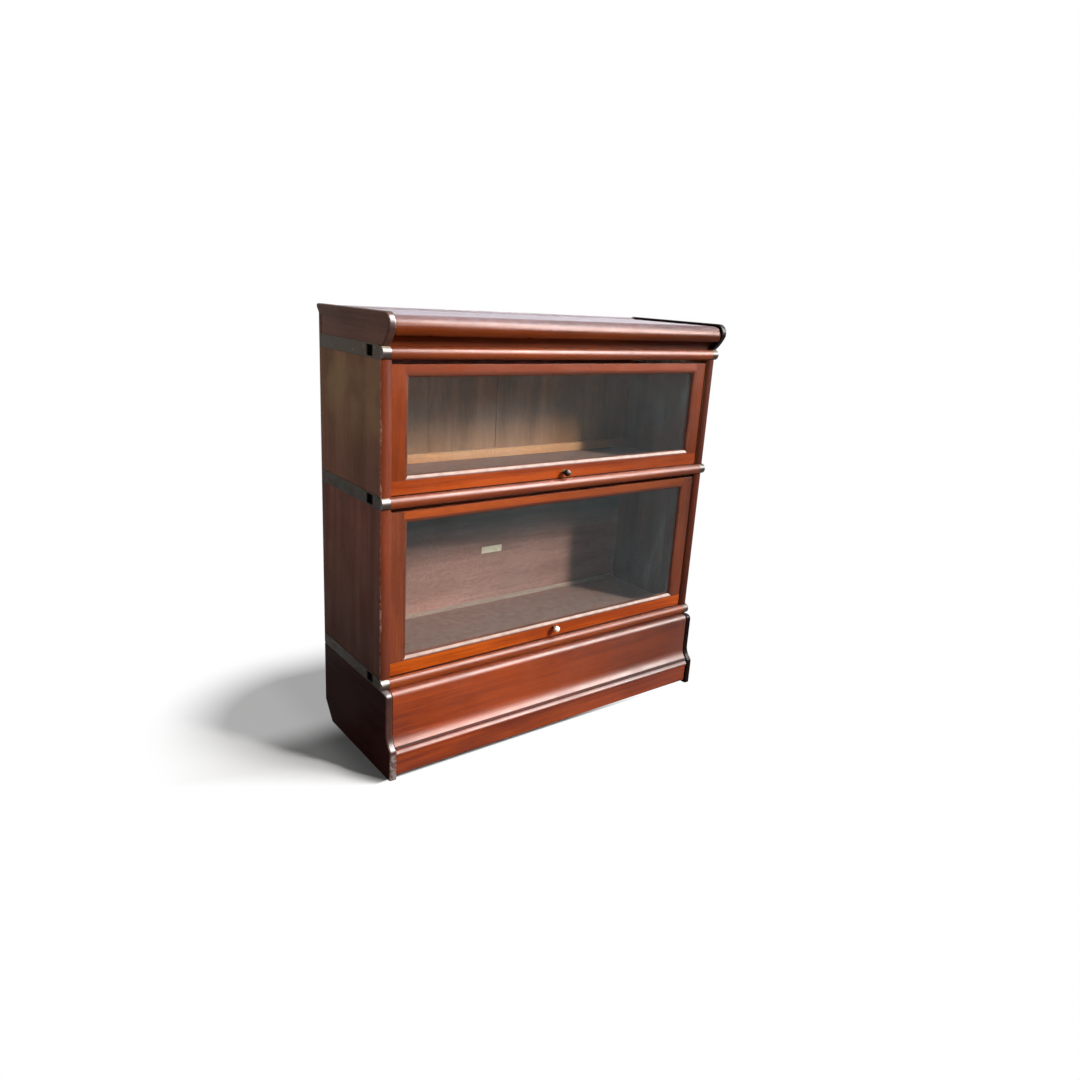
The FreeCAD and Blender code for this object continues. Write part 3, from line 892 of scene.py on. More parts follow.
        # Painted shade toward the right side.
        colour = sheet.darken(1.0, dust_and_sheen_laid["Color"], self.shade(sheet, spot))
        normal = sheet.bump(grain["Height"], PORE_DEPTH, grain["Relief"])
        if self.bead is not None:
            rounding = sheet.window(spot.level, *self.bead, 1.0, 0.0)
            normal = sheet.bump(rounding, BEAD_DEPTH, normal=normal)
        values = {
            "Base Color": self.marked(sheet, spot, colour, rubbed["Mask"]),
            "Roughness": self.roughness(sheet, spot, dust_and_sheen_laid["Mask"], groove),
            "Specular IOR Level": self.gloss,
            "Specular Tint": self.shine,
            "Normal": normal,
        }
        if self.front_coat > 0.0:
            fading = Step(0.0, OUTER_FACE, self.front_coat, FAR_COAT * self.front_coat)
            coat = sheet.product(spot.facing, sheet.window(spot.across, *fading))
            values |= {"Coat Weight": coat, "Coat Roughness": COAT_ROUGHNESS}
        return sheet.principled(values)


@dataclass(frozen=True)
class SawnWood(Wood):
    """Thinly finished or bare wood of the inside and the back.

    Attributes:
        dust...: Colour, amount and film of the dust, which on this wood is dust only.
        rough: Roughness.
        shade_above, shade_span, shade_tint: Level, height and colour of painted shade on the
            inside.
    """

    figure: float = 0.9
    dust_and_sheen: Colour = (0.45, 0.40, 0.34)
    dust_and_sheen_amount: float = 0.6
    dust_and_sheen_film: float = 0.12
    rough: float = 0.72
    shade_above: float | None = None
    shade_span: float = 8 * MM
    shade_tint: Colour = (0.16, 0.05, 0.04)
    pore_shade = 0.45
    mottle = Cloud(190.0, 4.0, 0.2, Step(0.34, 0.66, 0.87, 1.10))
    shaded_right_part = Step(-0.13, 0.10)
    polish = (0.12, -0.08)
    gloss = 0.2
    saw_depth = 0.15 * MM
    relief = 0.6

    def dress(self, sheet: NodeSheet) -> Socket:
        """Lay out grain, saw marks and dust.

        Args:
            sheet: The material's tree.

        Returns:
            The shader of the surface.
        """
        spot = sheet.spot()
        pore = tuple(self.pore_shade * part for part in self.deep)
        grain = self.grain(sheet, spot, Pale=self.pale, Deep=self.deep, Pore=pore)
        dust_and_sheen_laid = DUST_AND_SHEEN.place(sheet, Vector=spot.vector, Normal=spot.normal, Base=grain["Color"],
                           Dust=self.dust_and_sheen, Amount=self.dust_and_sheen_amount, Film=self.dust_and_sheen_film)
        colour = sheet.darken(1.0, dust_and_sheen_laid["Color"], sheet.clouds(spot.vector, self.mottle))
        # Painted shade on the inside faces of the right part.
        aside = sheet.product(spot.facing, sheet.window(spot.across, *self.shaded_right_part))
        colour = sheet.darken(aside, colour, (self.far_shade, self.far_shade, self.far_shade))
        # Painted shade on the inside faces above a level.
        if self.shade_above is not None:
            above = sheet.window(spot.level, self.shade_above, self.shade_above + self.shade_span)
            colour = sheet.darken(sheet.product(spot.facing, above), colour, self.shade_tint)
        rough = (self.rough + change for change in self.polish)
        return sheet.principled({
            "Base Color": colour,
            "Roughness": sheet.window(grain["Sheen"], 0.0, 1.0, *rough),
            "Specular IOR Level": self.gloss,
            "Normal": sheet.bump(grain["Height"], self.saw_depth, self.relief),
        })


@dataclass(frozen=True)
class OldGlass(Finish):
    """Thin greenish window glass with a film of dust."""

    tint: Colour = (0.93, 0.96, 0.955)
    haze: float = 0.020
    rough: float = 0.03
    ior: float = 1.16

    def dress(self, sheet: NodeSheet) -> Socket:
        """Lay out the glass, which lets lamps through, and the grime on it.

        Args:
            sheet: The material's tree.

        Returns:
            The shader of the surface.
        """
        glass = sheet.principled({
            "Base Color": self.tint,
            "Roughness": self.rough,
            "IOR": self.ior,
            "Transmission Weight": 1.0,
        })
        clear = sheet.add("ShaderNodeBsdfTransparent", {"Color": self.tint}).outputs[0]
        path = sheet.add("ShaderNodeLightPath").outputs
        unseen = sheet.greatest(path["Is Shadow Ray"], path["Is Diffuse Ray"])
        grime = GRIME.place(sheet, Vector=sheet.place(), Haze=self.haze)
        pane = sheet.either(unseen, glass, clear)
        return sheet.either(grime["Mask"], pane, sheet.matt(grime["Color"]))


@dataclass(frozen=True)
class Metal(Finish):
    """Tarnished bare metal, with a painted shadow behind the depth neck if that is given."""

    bright: Colour = (0.66, 0.52, 0.30)
    dull: Colour = (0.24, 0.17, 0.09)
    scale: float = 90.0
    share: float = 0.5
    neck: float | None = None
    neck_shadow: Colour = (0.045, 0.03, 0.02)
    neck_edge = 2 * MM
    patch_depth = 0.05 * MM
    relief = 0.4

    def dress(self, sheet: NodeSheet) -> Socket:
        """Lay out the bright metal, its dull patches and the painted shadow on the neck.

        Args:
            sheet: The material's tree.

        Returns:
            The shader of the surface.
        """
        vector = sheet.place()
        skin = TARNISH.place(sheet, Vector=vector, Bright=self.bright, Dull=self.dull,
                             Scale=self.scale, Share=self.share)
        colour = skin["Color"]
        # Painted shadow of the knob's head on its neck.
        if self.neck is not None:
            behind = sheet.window(sheet.split(vector)[1], self.neck, self.neck + self.neck_edge)
            colour = sheet.mix(behind, colour, self.neck_shadow)
        return sheet.principled({
            "Base Color": colour,
            "Metallic": 1.0,
            "Roughness": skin["Roughness"],
            "Normal": sheet.bump(skin["Height"], self.patch_depth, self.relief),
        })


@dataclass(frozen=True)
class Enamel(Finish):
    """Dark stoved enamel on iron, rubbed pale on the caps and the arrises.

    Attributes:
        bare, under: Colours of the caps: worn pale with a painted highlight on top, painted shade
            below.
        cap: Depths between which the enamel goes over to the worn cap.
        ..._dims and the tops' fade: How the caps' coat and the painted highlight on their tops fall
        off to the right side.
    """

    dark: Colour = (0.090, 0.073, 0.056)
    grey: Colour = (0.150, 0.118, 0.090)
    bare: Colour = (0.50, 0.42, 0.33)
    under: Colour = (0.05, 0.03, 0.02)
    arris_grey: Colour = (0.30, 0.31, 0.28)
    wear: float = 0.6
    cap = Step(FRONT_LINE + 0.5 * MM, FRONT_LINE - 5.5 * MM)
    lit_cap_top = Step(0.0, 0.75)
    rag_scale, rag_depth = 160.0, 5.0 * MM
    low_shade = Step(0.50, 0.82, 0.42)
    lit_top_fade = Step(-0.1, 0.2, 1.0, 0.30)
    coat_dims = Step(-0.1, 0.2, 0.38, 0.12)
    patch_scale, patch_share = 55.0, 0.5
    patch_depth, relief = 0.12 * MM, 0.5
    gloss, coat_rough = 0.03, 0.3

    def dress(self, sheet: NodeSheet) -> Socket:
        """Lay out the enamel, the worn caps with painted highlight and shade, and the rubbed
        arrises.

        Args:
            sheet: The material's tree.

        Returns:
            The shader of the surface.
        """
        spot = sheet.spot()
        skin = TARNISH.place(sheet, Vector=spot.vector, Bright=self.dark, Dull=self.grey,
                             Scale=self.patch_scale, Share=self.patch_share)
        base = sheet.darken(1.0, skin["Color"], sheet.window(spot.level, *self.low_shade))
        rubbed = RUBBED.place(sheet, Vector=spot.vector, Base=base, Bare=self.arris_grey,
                              Arris=sheet.arris(), Wear=self.wear)
        grey = sheet.noise(spot.vector, self.rag_scale, detail=3.0)
        ragged = sheet.product(sheet.less(grey, MIDDLE_GREY), self.rag_depth)
        cap = sheet.window(sheet.total(spot.depth, ragged), *self.cap)
        # Painted highlight on the caps' upward faces, fading to the right; painted shade under
        # them.
        upward = sheet.window(sheet.split(spot.normal)[2], *self.lit_cap_top)
        bright = sheet.product(upward, sheet.window(spot.across, *self.lit_top_fade))
        cap_wear_and_light = sheet.mix(bright, self.under, self.bare)
        return sheet.principled({
            "Base Color": sheet.mix(cap, rubbed["Color"], cap_wear_and_light),
            "Coat Weight": sheet.product(cap, sheet.window(spot.across, *self.coat_dims)),
            "Coat Roughness": self.coat_rough,
            "Roughness": skin["Roughness"],
            "Specular IOR Level": self.gloss,
            "Normal": sheet.bump(skin["Height"], self.patch_depth, self.relief),
        })


@dataclass(frozen=True)
class Ivorine(Finish):
    """Aged cream sheet with soiled edges."""

    cream: Colour = (0.90, 0.80, 0.62)
    soiled: Colour = (0.66, 0.58, 0.42)
    patch_scale, patch_share = 120.0, 0.3
    gloss = 0.3

    def dress(self, sheet: NodeSheet) -> Socket:
        """Lay out the cream and its soiling."""
        skin = TARNISH.place(sheet, Vector=sheet.place(), Bright=self.cream, Dull=self.soiled,
                             Scale=self.patch_scale, Share=self.patch_share)
        return sheet.principled({
            "Base Color": skin["Color"],
            "Roughness": skin["Roughness"],
            "Specular IOR Level": self.gloss,
        })


# far_shade paints shade toward the right side of these finishes; low_shade paints it low down.
RAIL_LOWER = Hardwood(
    "rail_wood_lower", (0.66, 0.118, 0.005), (0.33, 0.046, 0.003),
    shift=(0.3, 0.1, 0.0), figure=1.2)
RAIL_UPPER = Hardwood(
    "rail_wood_upper", (0.54, 0.086, 0.006), (0.28, 0.036, 0.003),
    shift=(0.9, 0.4, 0.2), figure=1.2, far_shade=0.58)
HEAD_LOWER = Hardwood(
    "head_rail_wood_lower", (0.58, 0.118, 0.022), (0.39, 0.070, 0.013),
    shift=(1.7, 0.2, 0.5), far_shade=0.34)
HEAD_UPPER = Hardwood(
    "head_rail_wood_upper", (0.34, 0.056, 0.010), (0.23, 0.036, 0.006),
    shift=(2.7, 0.6, 0.1), far_shade=0.85)
STILE_UPPER = Hardwood(
    "stile_wood_upper", (0.37, 0.058, 0.004), (0.19, 0.030, 0.002),
    run=GrainRun.UPRIGHT, shift=(0.2, 0.7, 0.1), far_shade=0.58)
STILE_LOWER = Hardwood(
    "stile_wood_lower", (0.38, 0.088, 0.034), (0.19, 0.044, 0.018),
    run=GrainRun.UPRIGHT, shift=(0.7, 0.3, 0.4), far_shade=0.50)
SIDE_LOWER = Hardwood(
    "side_wood_lower", (0.22, 0.092, 0.064), (0.12, 0.044, 0.032),
    run=GrainRun.UPRIGHT, shift=(0.9, 0.1, 0.4), rough=0.50, gloss=0.015, panel=True, slot=True,
    wear=0.7, bare=(0.62, 0.42, 0.34), dust_and_sheen_film=0.02, low_shade=0.5, far_shade=0.5,
    front=((0.31, 0.058, 0.020), (0.17, 0.032, 0.012)), front_coat=0.11)
# The khaki film on the upper side panels is partly dust and partly painted sheen.
SIDE_UPPER = replace(
    SIDE_LOWER, name="side_wood_upper", pale=(0.255, 0.120, 0.080), deep=(0.150, 0.068, 0.045),
    shift=(0.5, 0.3, 0.9), gloss=0.02, dust_and_sheen=(0.48, 0.32, 0.18), dust_and_sheen_film=0.36, film_above=0.62,
    low_shade=1.0, far_shade=0.34)
# Shade is painted in the crease where the door meets this board.
NOSE = Hardwood(
    "nose_wood", (0.36, 0.072, 0.013), (0.20, 0.034, 0.008), shift=(1.1, 0.9, 0.4),
    rough=0.33, far_rough=0.08, shine=(1.0, 0.82, 0.78), contact=True, dust_and_sheen=(0.38, 0.27, 0.23),
    dust_and_sheen_amount=0.0, dust_and_sheen_inside=0.85, far_shade=0.66)
# The pale dust on the bead's upward faces is partly a painted highlight.
BEAD = Hardwood(
    "bead_wood", (0.20, 0.050, 0.022), (0.12, 0.028, 0.014), rough=0.28,
    dust_and_sheen=(0.80, 0.61, 0.53), dust_and_sheen_amount=0.85, dust_and_sheen_inside=0.85, dust_and_sheen_film=0.01,
    dust_and_sheen_slopes=(0.0, 0.5))
# Its quirk is painted dark as shade.
BASE_FRONT = Hardwood(
    "base_front_wood", (0.40, 0.055, 0.002), (0.17, 0.018, 0.001),
    shift=(2.3, 0.3, 0.6), figure=1.2, rough=0.44, gloss=0.130, shine=(1.0, 0.97, 0.93),
    dust_and_sheen_amount=0.06, far_shade=0.34, quirk=(62.0 * MM, 67.0 * MM), bead=(52.5 * MM, 62.0 * MM))
# Its pale dust and scuffs on the front are partly a painted highlight.
BASE_CHEEK = Hardwood(
    "base_cheek_wood", (0.036, 0.011, 0.009), (0.014, 0.004, 0.004),
    run=GrainRun.DEEP, shift=(0.8, 1.2, 0.3), gloss=0.006, wear=0.7, slot=True,
    dust_and_sheen=(0.50, 0.43, 0.41), dust_and_sheen_amount=0.65, scuffed_below=0.056, far_shade=0.12,
    front=((0.09, 0.028, 0.017), (0.04, 0.012, 0.008)), front_coat=0.34)
# The lavender dust on its upward faces is partly a painted sky reflection.
CORNICE_FRONT = Hardwood(
    "cornice_front_wood", (0.22, 0.038, 0.003), (0.11, 0.016, 0.001),
    shift=(3.1, 0.6, 0.2), rough=0.26, far_rough=0.03, gloss=0.037, shine=(1.0, 0.84, 0.80),
    dust_and_sheen=(0.66, 0.62, 0.72), dust_and_sheen_amount=0.40, far_shade=0.50)
# Its pale dust on the front round is partly a painted highlight.
CORNICE_CHEEK = Hardwood(
    "cornice_cheek_wood", (0.175, 0.078, 0.055), (0.10, 0.043, 0.030),
    run=GrainRun.DEEP, shift=(1.4, 0.5, 0.7), gloss=0.02, wear=0.1, slot=True,
    dust_and_sheen=(0.46, 0.38, 0.34), dust_and_sheen_amount=0.3, far_shade=0.10,
    front=((0.10, 0.035, 0.022), (0.045, 0.016, 0.010)), front_coat=0.3)
# Its grey-lavender colours are a painted sky reflection, and its dust partly so.
LIP = Hardwood(
    "lip_wood", (0.32, 0.28, 0.31), (0.20, 0.17, 0.19), shift=(0.9, 2.1, 0.3),
    gloss=0.05, dust_and_sheen=(0.50, 0.47, 0.54), dust_and_sheen_amount=0.7, dust_and_sheen_inside=0.7)
# The lavender dust on the top is partly a painted sky reflection.
TOP_BOARD = Hardwood(
    "top_board_wood", (0.26, 0.10, 0.08), (0.16, 0.06, 0.05), shift=(0.4, 2.1, 0.3),
    rough=0.32, gloss=0.21, shine=(0.96, 0.93, 1.0), dust_and_sheen=(0.66, 0.62, 0.72), dust_and_sheen_amount=0.85,
    dust_and_sheen_inside=0.85)
LOWER_BACK = SawnWood(
    "lower_back_wood", (0.52, 0.245, 0.190), (0.34, 0.152, 0.112),
    shift=(0.6, 0.2, 0.4), dust_and_sheen_film=0.05, shade_above=0.335, shade_span=0.08,
    shade_tint=(0.26, 0.40, 0.47), far_shade=0.72)
UPPER_BACK = SawnWood(
    "upper_back_wood", (0.335, 0.135, 0.038), (0.215, 0.084, 0.020),
    run=GrainRun.UPRIGHT, shift=(0.2, 0.9, 0.1), dust_and_sheen_film=0.05, shade_above=0.776)
STRIP = SawnWood(
    "strip_wood", (0.74, 0.330, 0.115), (0.58, 0.250, 0.085), shift=(1.2, 0.4, 0.8),
    dust_and_sheen_amount=0.2)
LOW_STRIP = SawnWood(
    "low_strip_wood", (0.42, 0.27, 0.21), (0.31, 0.20, 0.15), shift=(1.9, 0.4, 0.8),
    dust_and_sheen_amount=0.3)
CARCASE = SawnWood(
    "carcase_wood", (0.50, 0.30, 0.17), (0.26, 0.14, 0.08), shift=(0.1, 0.7, 0.2),
    figure=1.3, dust_and_sheen_film=0.05)
STRETCHER = SawnWood(
    "stretcher_wood", (0.12, 0.028, 0.018), (0.07, 0.016, 0.011),
    shift=(0.5, 0.2, 0.9), dust_and_sheen_film=0.0, dust_and_sheen_amount=0.1)
GLASS = OldGlass("old_glass")
BAND = Enamel("band_enamel")
BRASS_LOWER = Metal(
    "knob_brass_lower", bright=(0.62, 0.50, 0.38), dull=(0.40, 0.30, 0.22), share=0.35,
    neck=KNOB_BACK)
# The upper knob is the lower one's brass, painted dark as shade.
SHADED_BRASS_UPPER = Metal(
    "knob_brass_upper_shaded", bright=(0.022, 0.016, 0.012), dull=(0.014, 0.010, 0.008), share=0.9,
    neck=KNOB_BACK)
SHOE_BRASS = Metal("shoe_brass")
PIN_BRASS = Metal("pin_brass", bright=(0.55, 0.45, 0.28), dull=(0.3, 0.22, 0.12))
DRAWN_STEEL = Metal("drawn_steel", bright=(0.55, 0.55, 0.54), dull=(0.26, 0.25, 0.23), share=0.4)
SCREW_STEEL = Enamel("screw_enamel", dark=(0.14, 0.11, 0.09), grey=(0.26, 0.20, 0.17))
PLATE = Ivorine("label_cream")

# How a solid's mesh is welded, cleaned and bevelled; the turns are in degrees.
WELD = 2e-6
FLAT_TURN = 0.3
ARRIS_TURN = 38
SHARP_TURN = 40
WOOD_ARRIS = 0.8 * MM
FINE_ARRIS = 0.5 * MM
PLATE_ARRIS = 0.25 * MM


def soften(node: bpy.types.Object, name: str, width: float) -> bpy.types.Object:
    """Copy a CAD solid and round its outer arrises, marking them in the attribute arris.

    Args:
        node: The CAD node's object.
        name: The new piece's name.
        width: The arris width in metres.

    Returns:
        The new piece, at the world origin.
    """
    shape = bmesh.new()
    shape.from_mesh(node.data)
    bmesh.ops.remove_doubles(shape, verts=shape.verts, dist=WELD)
    bmesh.ops.dissolve_limit(shape, angle_limit=math.radians(FLAT_TURN), verts=shape.verts,
                             edges=shape.edges)
    arrises = [edge for edge in shape.edges if len(edge.link_faces) == 2
               and edge.calc_face_angle_signed(0.0) > math.radians(ARRIS_TURN)]
    made = bmesh.ops.bevel(shape, geom=arrises, offset=width, offset_type="OFFSET",
                           affect="EDGES", segments=2, profile=0.5, material=-1,
                           clamp_overlap=True)
    mark = shape.faces.layers.float.new("arris")
    for face in made["faces"]:
        if face.is_valid:
            face[mark] = 1.0
    for face in shape.faces:
        face.smooth = True
        face.material_index = 0
    mesh = bpy.data.meshes.new(name)
    shape.to_mesh(mesh)
    shape.free()
    mesh.set_sharp_from_angle(angle=math.radians(SHARP_TURN))
    piece = bpy.data.objects.new(name, mesh)
    bpy.context.scene.collection.objects.link(piece)
    piece.modifiers.new("weigh", "WEIGHTED_NORMAL").keep_sharp = True
    return piece


@dataclass
class SubAssembly:
    """Pieces that are made and dressed together."""

    body: str = "case"

    def keep(self, node: str, finish: Finish) -> None:
        """Give a CAD node a finish and leave its shape.

        Args:
            node: The node's name.
            finish: What it is finished in.
        """
        material = finish.material()
        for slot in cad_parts[node].material_slots:
            slot.material = material
        LOG.info("%s in %s", node, finish.name)

    def round_off(self, node: str, finish: Finish, width: float = WOOD_ARRIS) -> None:
        """Stand a copy with rounded arrises in for a CAD node.

        Args:
            node: The node's name.
            finish: What it is finished in.
            width: The arris width in metres.
        """
        piece = soften(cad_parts[node], f"{node}_piece", width)
        piece.data.materials.append(finish.material())
        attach(piece, self.body)
        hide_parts(node)
        LOG.info("%s in %s, %d faces", piece.name, finish.name, len(piece.data.polygons))


@dataclass
class Base(SubAssembly):
    """The plinth: cheeks, moulded front and back rail."""

    def build(self) -> None:
        """Dress every piece of the base."""
        self.round_off("base_front_moulding", BASE_FRONT)
        self.round_off("base_back_rail", CARCASE)
        for side in SIDES:
            self.round_off(f"base_cheek_{side}", BASE_CHEEK)


@dataclass
class BookSection(SubAssembly):
    """One glazed unit: sides, board, back, tracks and bands."""

    tier: str = "lower"
    side_wood: Hardwood = SIDE_LOWER
    strip: SawnWood = LOW_STRIP
    back: SawnWood = LOWER_BACK
    back_nodes: tuple[str, ...] = ("back_panel",)

    def build(self) -> None:
        """Dress every fixed piece of the unit."""
        self.round_off(f"{self.tier}_bottom_board", NOSE)
        for side in SIDES:
            self.round_off(f"{self.tier}_side_{side}", self.side_wood)
            self.round_off(f"{self.tier}_band_{side}", BAND, FINE_ARRIS)
            self.keep(f"{self.tier}_track_{side}", DRAWN_STEEL)
        self.round_off(f"{self.tier}_stop_strip", self.strip)
        self.round_off(f"{self.tier}_back_stretcher", STRETCHER)
        for node in self.back_nodes:
            self.round_off(f"{self.tier}_{node}", self.back)


@dataclass
class Door(SubAssembly):
    """A framed pane with its beads, knob, rod and shoes."""

    tier: str = "lower"
    rail: Hardwood = RAIL_LOWER
    stile: Hardwood = STILE_LOWER
    head: Hardwood = HEAD_LOWER
    knob: Metal = BRASS_LOWER

    def __post_init__(self) -> None:
        """Ride on the door's own body."""
        self.body = f"{self.tier}_door"

    def build(self) -> None:
        """Dress every piece of the door."""
        door = self.body
        self.round_off(f"{door}_bottom_rail", self.rail)
        self.round_off(f"{door}_top_rail", self.head)
        for side in SIDES:
            self.round_off(f"{door}_stile_{side}", self.stile)
            self.keep(f"{door}_shoe_{side}", SHOE_BRASS)
        self.keep(f"{door}_front_beads", BEAD)
        self.keep(f"{door}_back_beads", self.stile)
        self.keep(f"{door}_glass", GLASS)
        self.keep(f"{door}_knob", self.knob)
        self.keep(f"{door}_hanging_rod", DRAWN_STEEL)


@dataclass
class Cornice(SubAssembly):
    """The top unit: board, moulding, cheeks, bands and back pieces."""

    def build(self) -> None:
        """Dress every piece of the cornice."""
        self.round_off("cornice_front_moulding", CORNICE_FRONT)
        self.round_off("cornice_top_board", TOP_BOARD)
        self.round_off("cornice_bottom_board", NOSE)
        self.round_off("cornice_back_lip", LIP)
        self.round_off("cornice_back_rail", CARCASE)
        for side in SIDES:
            self.round_off(f"cornice_cheek_{side}", CORNICE_CHEEK, FINE_ARRIS)
            self.round_off(f"cornice_band_{side}", BAND, FINE_ARRIS)


@dataclass
class SmallParts(SubAssembly):
    """The plate, its pins, the screws and the glue blocks."""

    def build(self) -> None:
        """Dress the small parts."""
        self.round_off("label_plate", PLATE, PLATE_ARRIS)
        self.keep("label_pins", PIN_BRASS)
        self.keep("band_screws", SCREW_STEEL)
        self.round_off("glue_blocks", CARCASE)


@dataclass(frozen=True)
class Viewpoint:
    """The camera's place, turn and lens."""

    place: Triple = (-1.0870, -1.4365, 0.9460)
    turn_deg: Triple = (73.149, -3.386, -36.993)
    lens_mm: float = 27.203
    film_mm: float = 36.0
    reach: float = 60.0

    def build(self) -> None:
        """Make the camera and look through it."""
        data = bpy.data.cameras.new("camera")
        data.lens = self.lens_mm
        data.sensor_width = self.film_mm
        data.clip_end = self.reach
        camera = bpy.data.objects.new("camera", data)
        camera.location = self.place
        camera.rotation_euler = [math.radians(angle) for angle in self.turn_deg]
        bpy.context.scene.collection.objects.link(camera)
        bpy.context.scene.camera = camera


@dataclass(frozen=True)
class SoftBox:
    """A large soft lamp aimed at the middle of the bookcase.

    Attributes:
        azimuth_deg: Its bearing: 0 is straight in front, growing to the right.
        width, rise: Its sides, in metres.
        lights: Whether it lights matt surfaces, or only shows in gloss.
    """

    name: str
    azimuth_deg: float
    height_deg: float
    distance: float
    width: float
    rise: float
    watts: float
    colour: Colour = WHITE
    aim: Triple = (0.0, 0.0, 0.45)
    lights: bool = True

    def build(self) -> None:
        """Hang the lamp."""
        azimuth, height = math.radians(self.azimuth_deg), math.radians(self.height_deg)
        toward = Vector((math.sin(azimuth) * math.cos(height),
                         -math.cos(azimuth) * math.cos(height), math.sin(height)))
        data = bpy.data.lights.new(self.name, "AREA")
        data.shape = "RECTANGLE"
        data.size = self.width
        data.size_y = self.rise
        data.energy = self.watts
        data.color = self.colour
        lamp = bpy.data.objects.new(self.name, data)
        lamp.location = Vector(self.aim) + toward * self.distance
        lamp.rotation_euler = toward.to_track_quat("Z", "Y").to_euler()
        lamp.visible_camera = False
        lamp.visible_diffuse = self.lights
        bpy.context.scene.collection.objects.link(lamp)


LAMPS = (
    SoftBox("key_lamp", azimuth_deg=30.6, height_deg=31.0, distance=6.5, width=0.6, rise=1.4,
            watts=480.0, colour=(1.0, 0.97, 0.93)),
    SoftBox("side_fill", azimuth_deg=-75.0, height_deg=35.0, distance=3.4, width=2.0, rise=2.0,
            watts=24.0, colour=(1.0, 0.99, 0.97)),
    SoftBox("sheen_card", azimuth_deg=46.0, height_deg=43.0, distance=2.6, width=1.0, rise=2.6,
            watts=1600.0, lights=False),
)


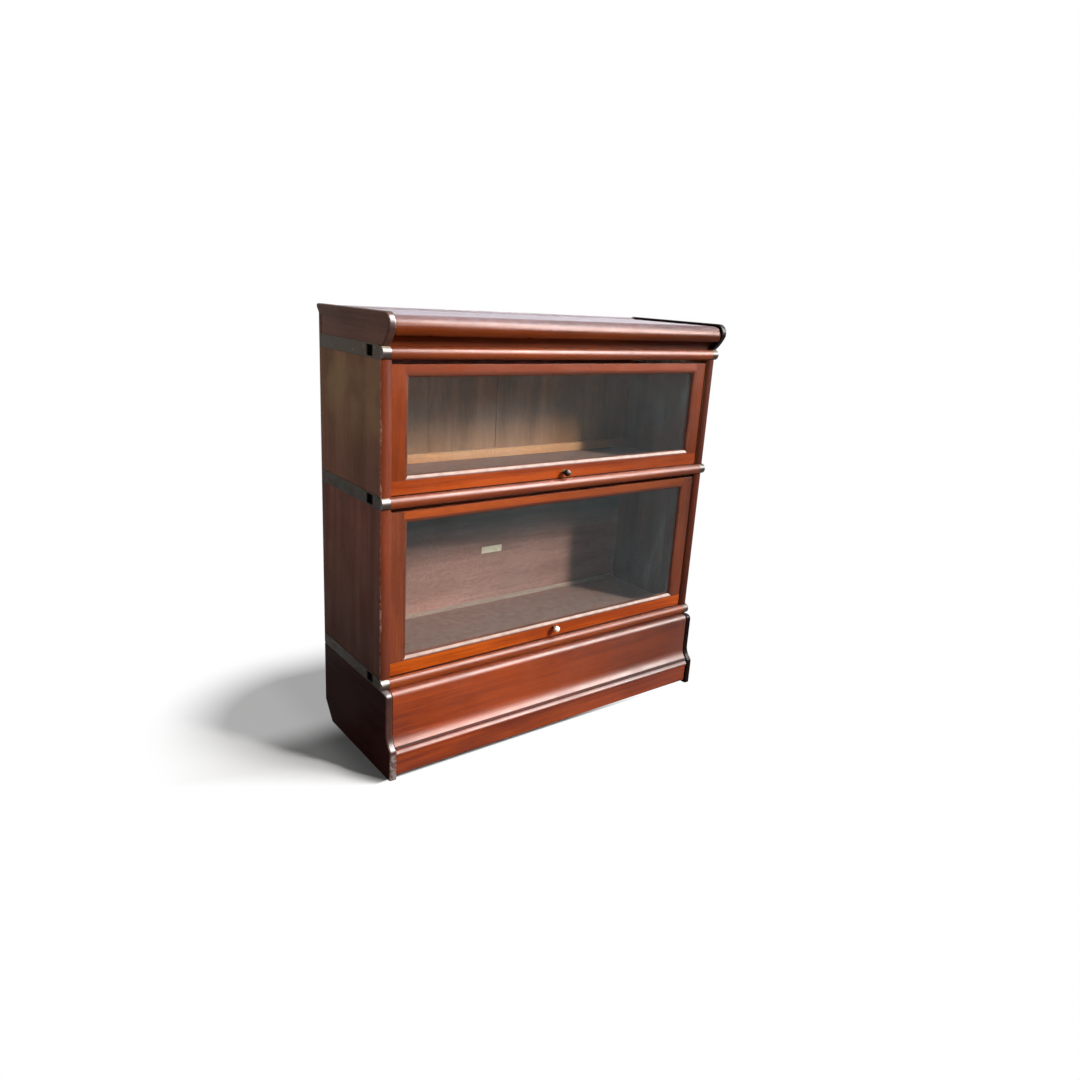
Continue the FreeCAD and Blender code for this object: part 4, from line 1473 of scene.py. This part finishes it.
@dataclass(frozen=True)
class FloorShadowPaint(Finish):
    """White paint with the rendered and a painted shadow near the bookcase, plain white farther
    out.

    Attributes:
        corner, outward: The bookcase's front left foot, and the way out of its shadow's edge.
        reach_...: How the shadow's soft edge widens with the depth.
        edge_shadow, side_shadow: Painted shadow: the paint's grey over the soft edge and out from
            the sides.
        ..._white: Where it goes over to plain white.
        back_line: The depth from which the distance to the back counts.
        lift, bounce: Light added in the shadow, and the grey that other rays see.
    """

    corner: tuple[float, float] = (-0.432, -0.161)
    outward: tuple[float, float] = (-0.86, -0.51)
    reach_start: float = -0.18
    reach_growth: float = 0.5
    reach_least: float = 0.01
    edge_shadow: Step = Step(-0.2, 1.0, 0.52, 0.90)
    side_shadow: Step = Step(0.0, 0.09, 0.32, 1.0)
    edge_white: Step = Step(0.2, 2.0)
    span_white: Step = Step(0.10, 0.39)
    back_white: Step = Step(0.03, 0.15, 0.0, 0.33)
    front_white: Step = Step(-0.1500, -0.1565)
    right_white: Step = Step(0.0, 0.3)
    back_line: float = 0.15
    lift: float = 0.02
    bounce: float = 0.25

    def past_edge(self, sheet: NodeSheet, across: Socket, depth: Socket) -> Socket:
        """Measure how far a point lies out from the shadow's edge.

        Args:
            sheet: The material's tree.
            across: The point's X.
            depth: The point's Y.

        Returns:
            The distance in widths of the soft edge.
        """
        across_off = sheet.product(sheet.less(across, self.corner[0]), self.outward[0])
        depth_off = sheet.product(sheet.less(depth, self.corner[1]), self.outward[1])
        reach = sheet.product(sheet.less(depth, self.reach_start), self.reach_growth)
        return sheet.maths("DIVIDE", sheet.total(across_off, depth_off),
                           sheet.greatest(reach, self.reach_least))

    def dress(self, sheet: NodeSheet) -> Socket:
        """Lay out the paint: rendered and painted shadow and white where it is seen, dim for other
        rays.

        Args:
            sheet: The material's tree.

        Returns:
            The shader of the surface.
        """
        across, depth, _ = sheet.split(sheet.place())
        past = self.past_edge(sheet, across, depth)
        aside = sheet.greatest(sheet.less(sheet.size(across), OUTER_FACE), 0.0)
        behind = sheet.greatest(sheet.less(depth, self.back_line), 0.0)
        span = sheet.maths("SQRT", sheet.total(sheet.maths("POWER", aside, 2.0),
                                               sheet.maths("POWER", behind, 2.0)))
        # Painted shadow: grey paint near the bookcase's left side and along the shadow's soft edge.
        grey = sheet.product(sheet.window(past, *self.edge_shadow),
                             sheet.window(aside, *self.side_shadow))
        white = sheet.greatest(*(sheet.window(value, *step) for value, step in (
            (span, self.span_white), (depth, self.front_white), (across, self.right_white),
            (past, self.edge_white), (depth, self.back_white))))
        paint = sheet.matt(sheet.mix(grey, BLACK, WHITE))
        lift = sheet.add("ShaderNodeEmission", {"Strength": self.lift}).outputs[0]
        near = sheet.add("ShaderNodeAddShader", {0: paint, 1: lift}).outputs[0]
        shown = sheet.either(white, near, sheet.add("ShaderNodeEmission").outputs[0])
        dim = sheet.matt((self.bounce, self.bounce, self.bounce))
        return sheet.either(sheet.seen(), dim, shown)


@dataclass(frozen=True)
class Studio:
    """Pale floor, white surroundings and soft lamps."""

    half_floor: float = 12.0
    floor_level: float = -0.2 * MM
    fill: float = 0.08
    fill_colour: Colour = (0.95, 0.98, 1.0)

    def surroundings(self) -> None:
        """Make the world: a plain fill, white where it is seen."""
        world = bpy.data.worlds.new("studio")
        sheet = blank_sheet(world)
        values = {"Color": self.fill_colour, "Strength": self.fill}
        fill = sheet.add("ShaderNodeBackground", values).outputs[0]
        white = sheet.add("ShaderNodeBackground", {"Color": WHITE}).outputs[0]
        sheet.add("ShaderNodeOutputWorld", {0: sheet.either(sheet.seen(), fill, white)})
        bpy.context.scene.world = world

    def build(self) -> None:
        """Lay the floor, light it and set the plain view transform."""
        shape = bmesh.new()
        bmesh.ops.create_grid(shape, x_segments=1, y_segments=1, size=self.half_floor)
        bmesh.ops.translate(shape, vec=(0.0, 0.0, self.floor_level), verts=shape.verts)
        mesh = bpy.data.meshes.new("floor")
        shape.to_mesh(mesh)
        shape.free()
        floor = bpy.data.objects.new("floor", mesh)
        bpy.context.scene.collection.objects.link(floor)
        mesh.materials.append(FloorShadowPaint("floor_with_painted_shadow").material())
        self.surroundings()
        for lamp in LAMPS:
            lamp.build()
        bpy.context.scene.view_settings.view_transform = "Standard"


def main() -> None:
    """Build the camera, the studio and every sub-assembly in order."""
    logging.basicConfig(level=logging.INFO, format="%(name)s: %(message)s")
    Viewpoint().build()
    Studio().build()
    Base().build()
    BookSection().build()
    BookSection(tier="upper", side_wood=SIDE_UPPER, strip=STRIP, back=UPPER_BACK,
                back_nodes=("back_board_left", "back_board_right")).build()
    Door().build()
    Door(tier="upper", rail=RAIL_UPPER, stile=STILE_UPPER, head=HEAD_UPPER,
         knob=SHADED_BRASS_UPPER).build()
    Cornice().build()
    SmallParts().build()


if __name__ == "__main__":
    main()
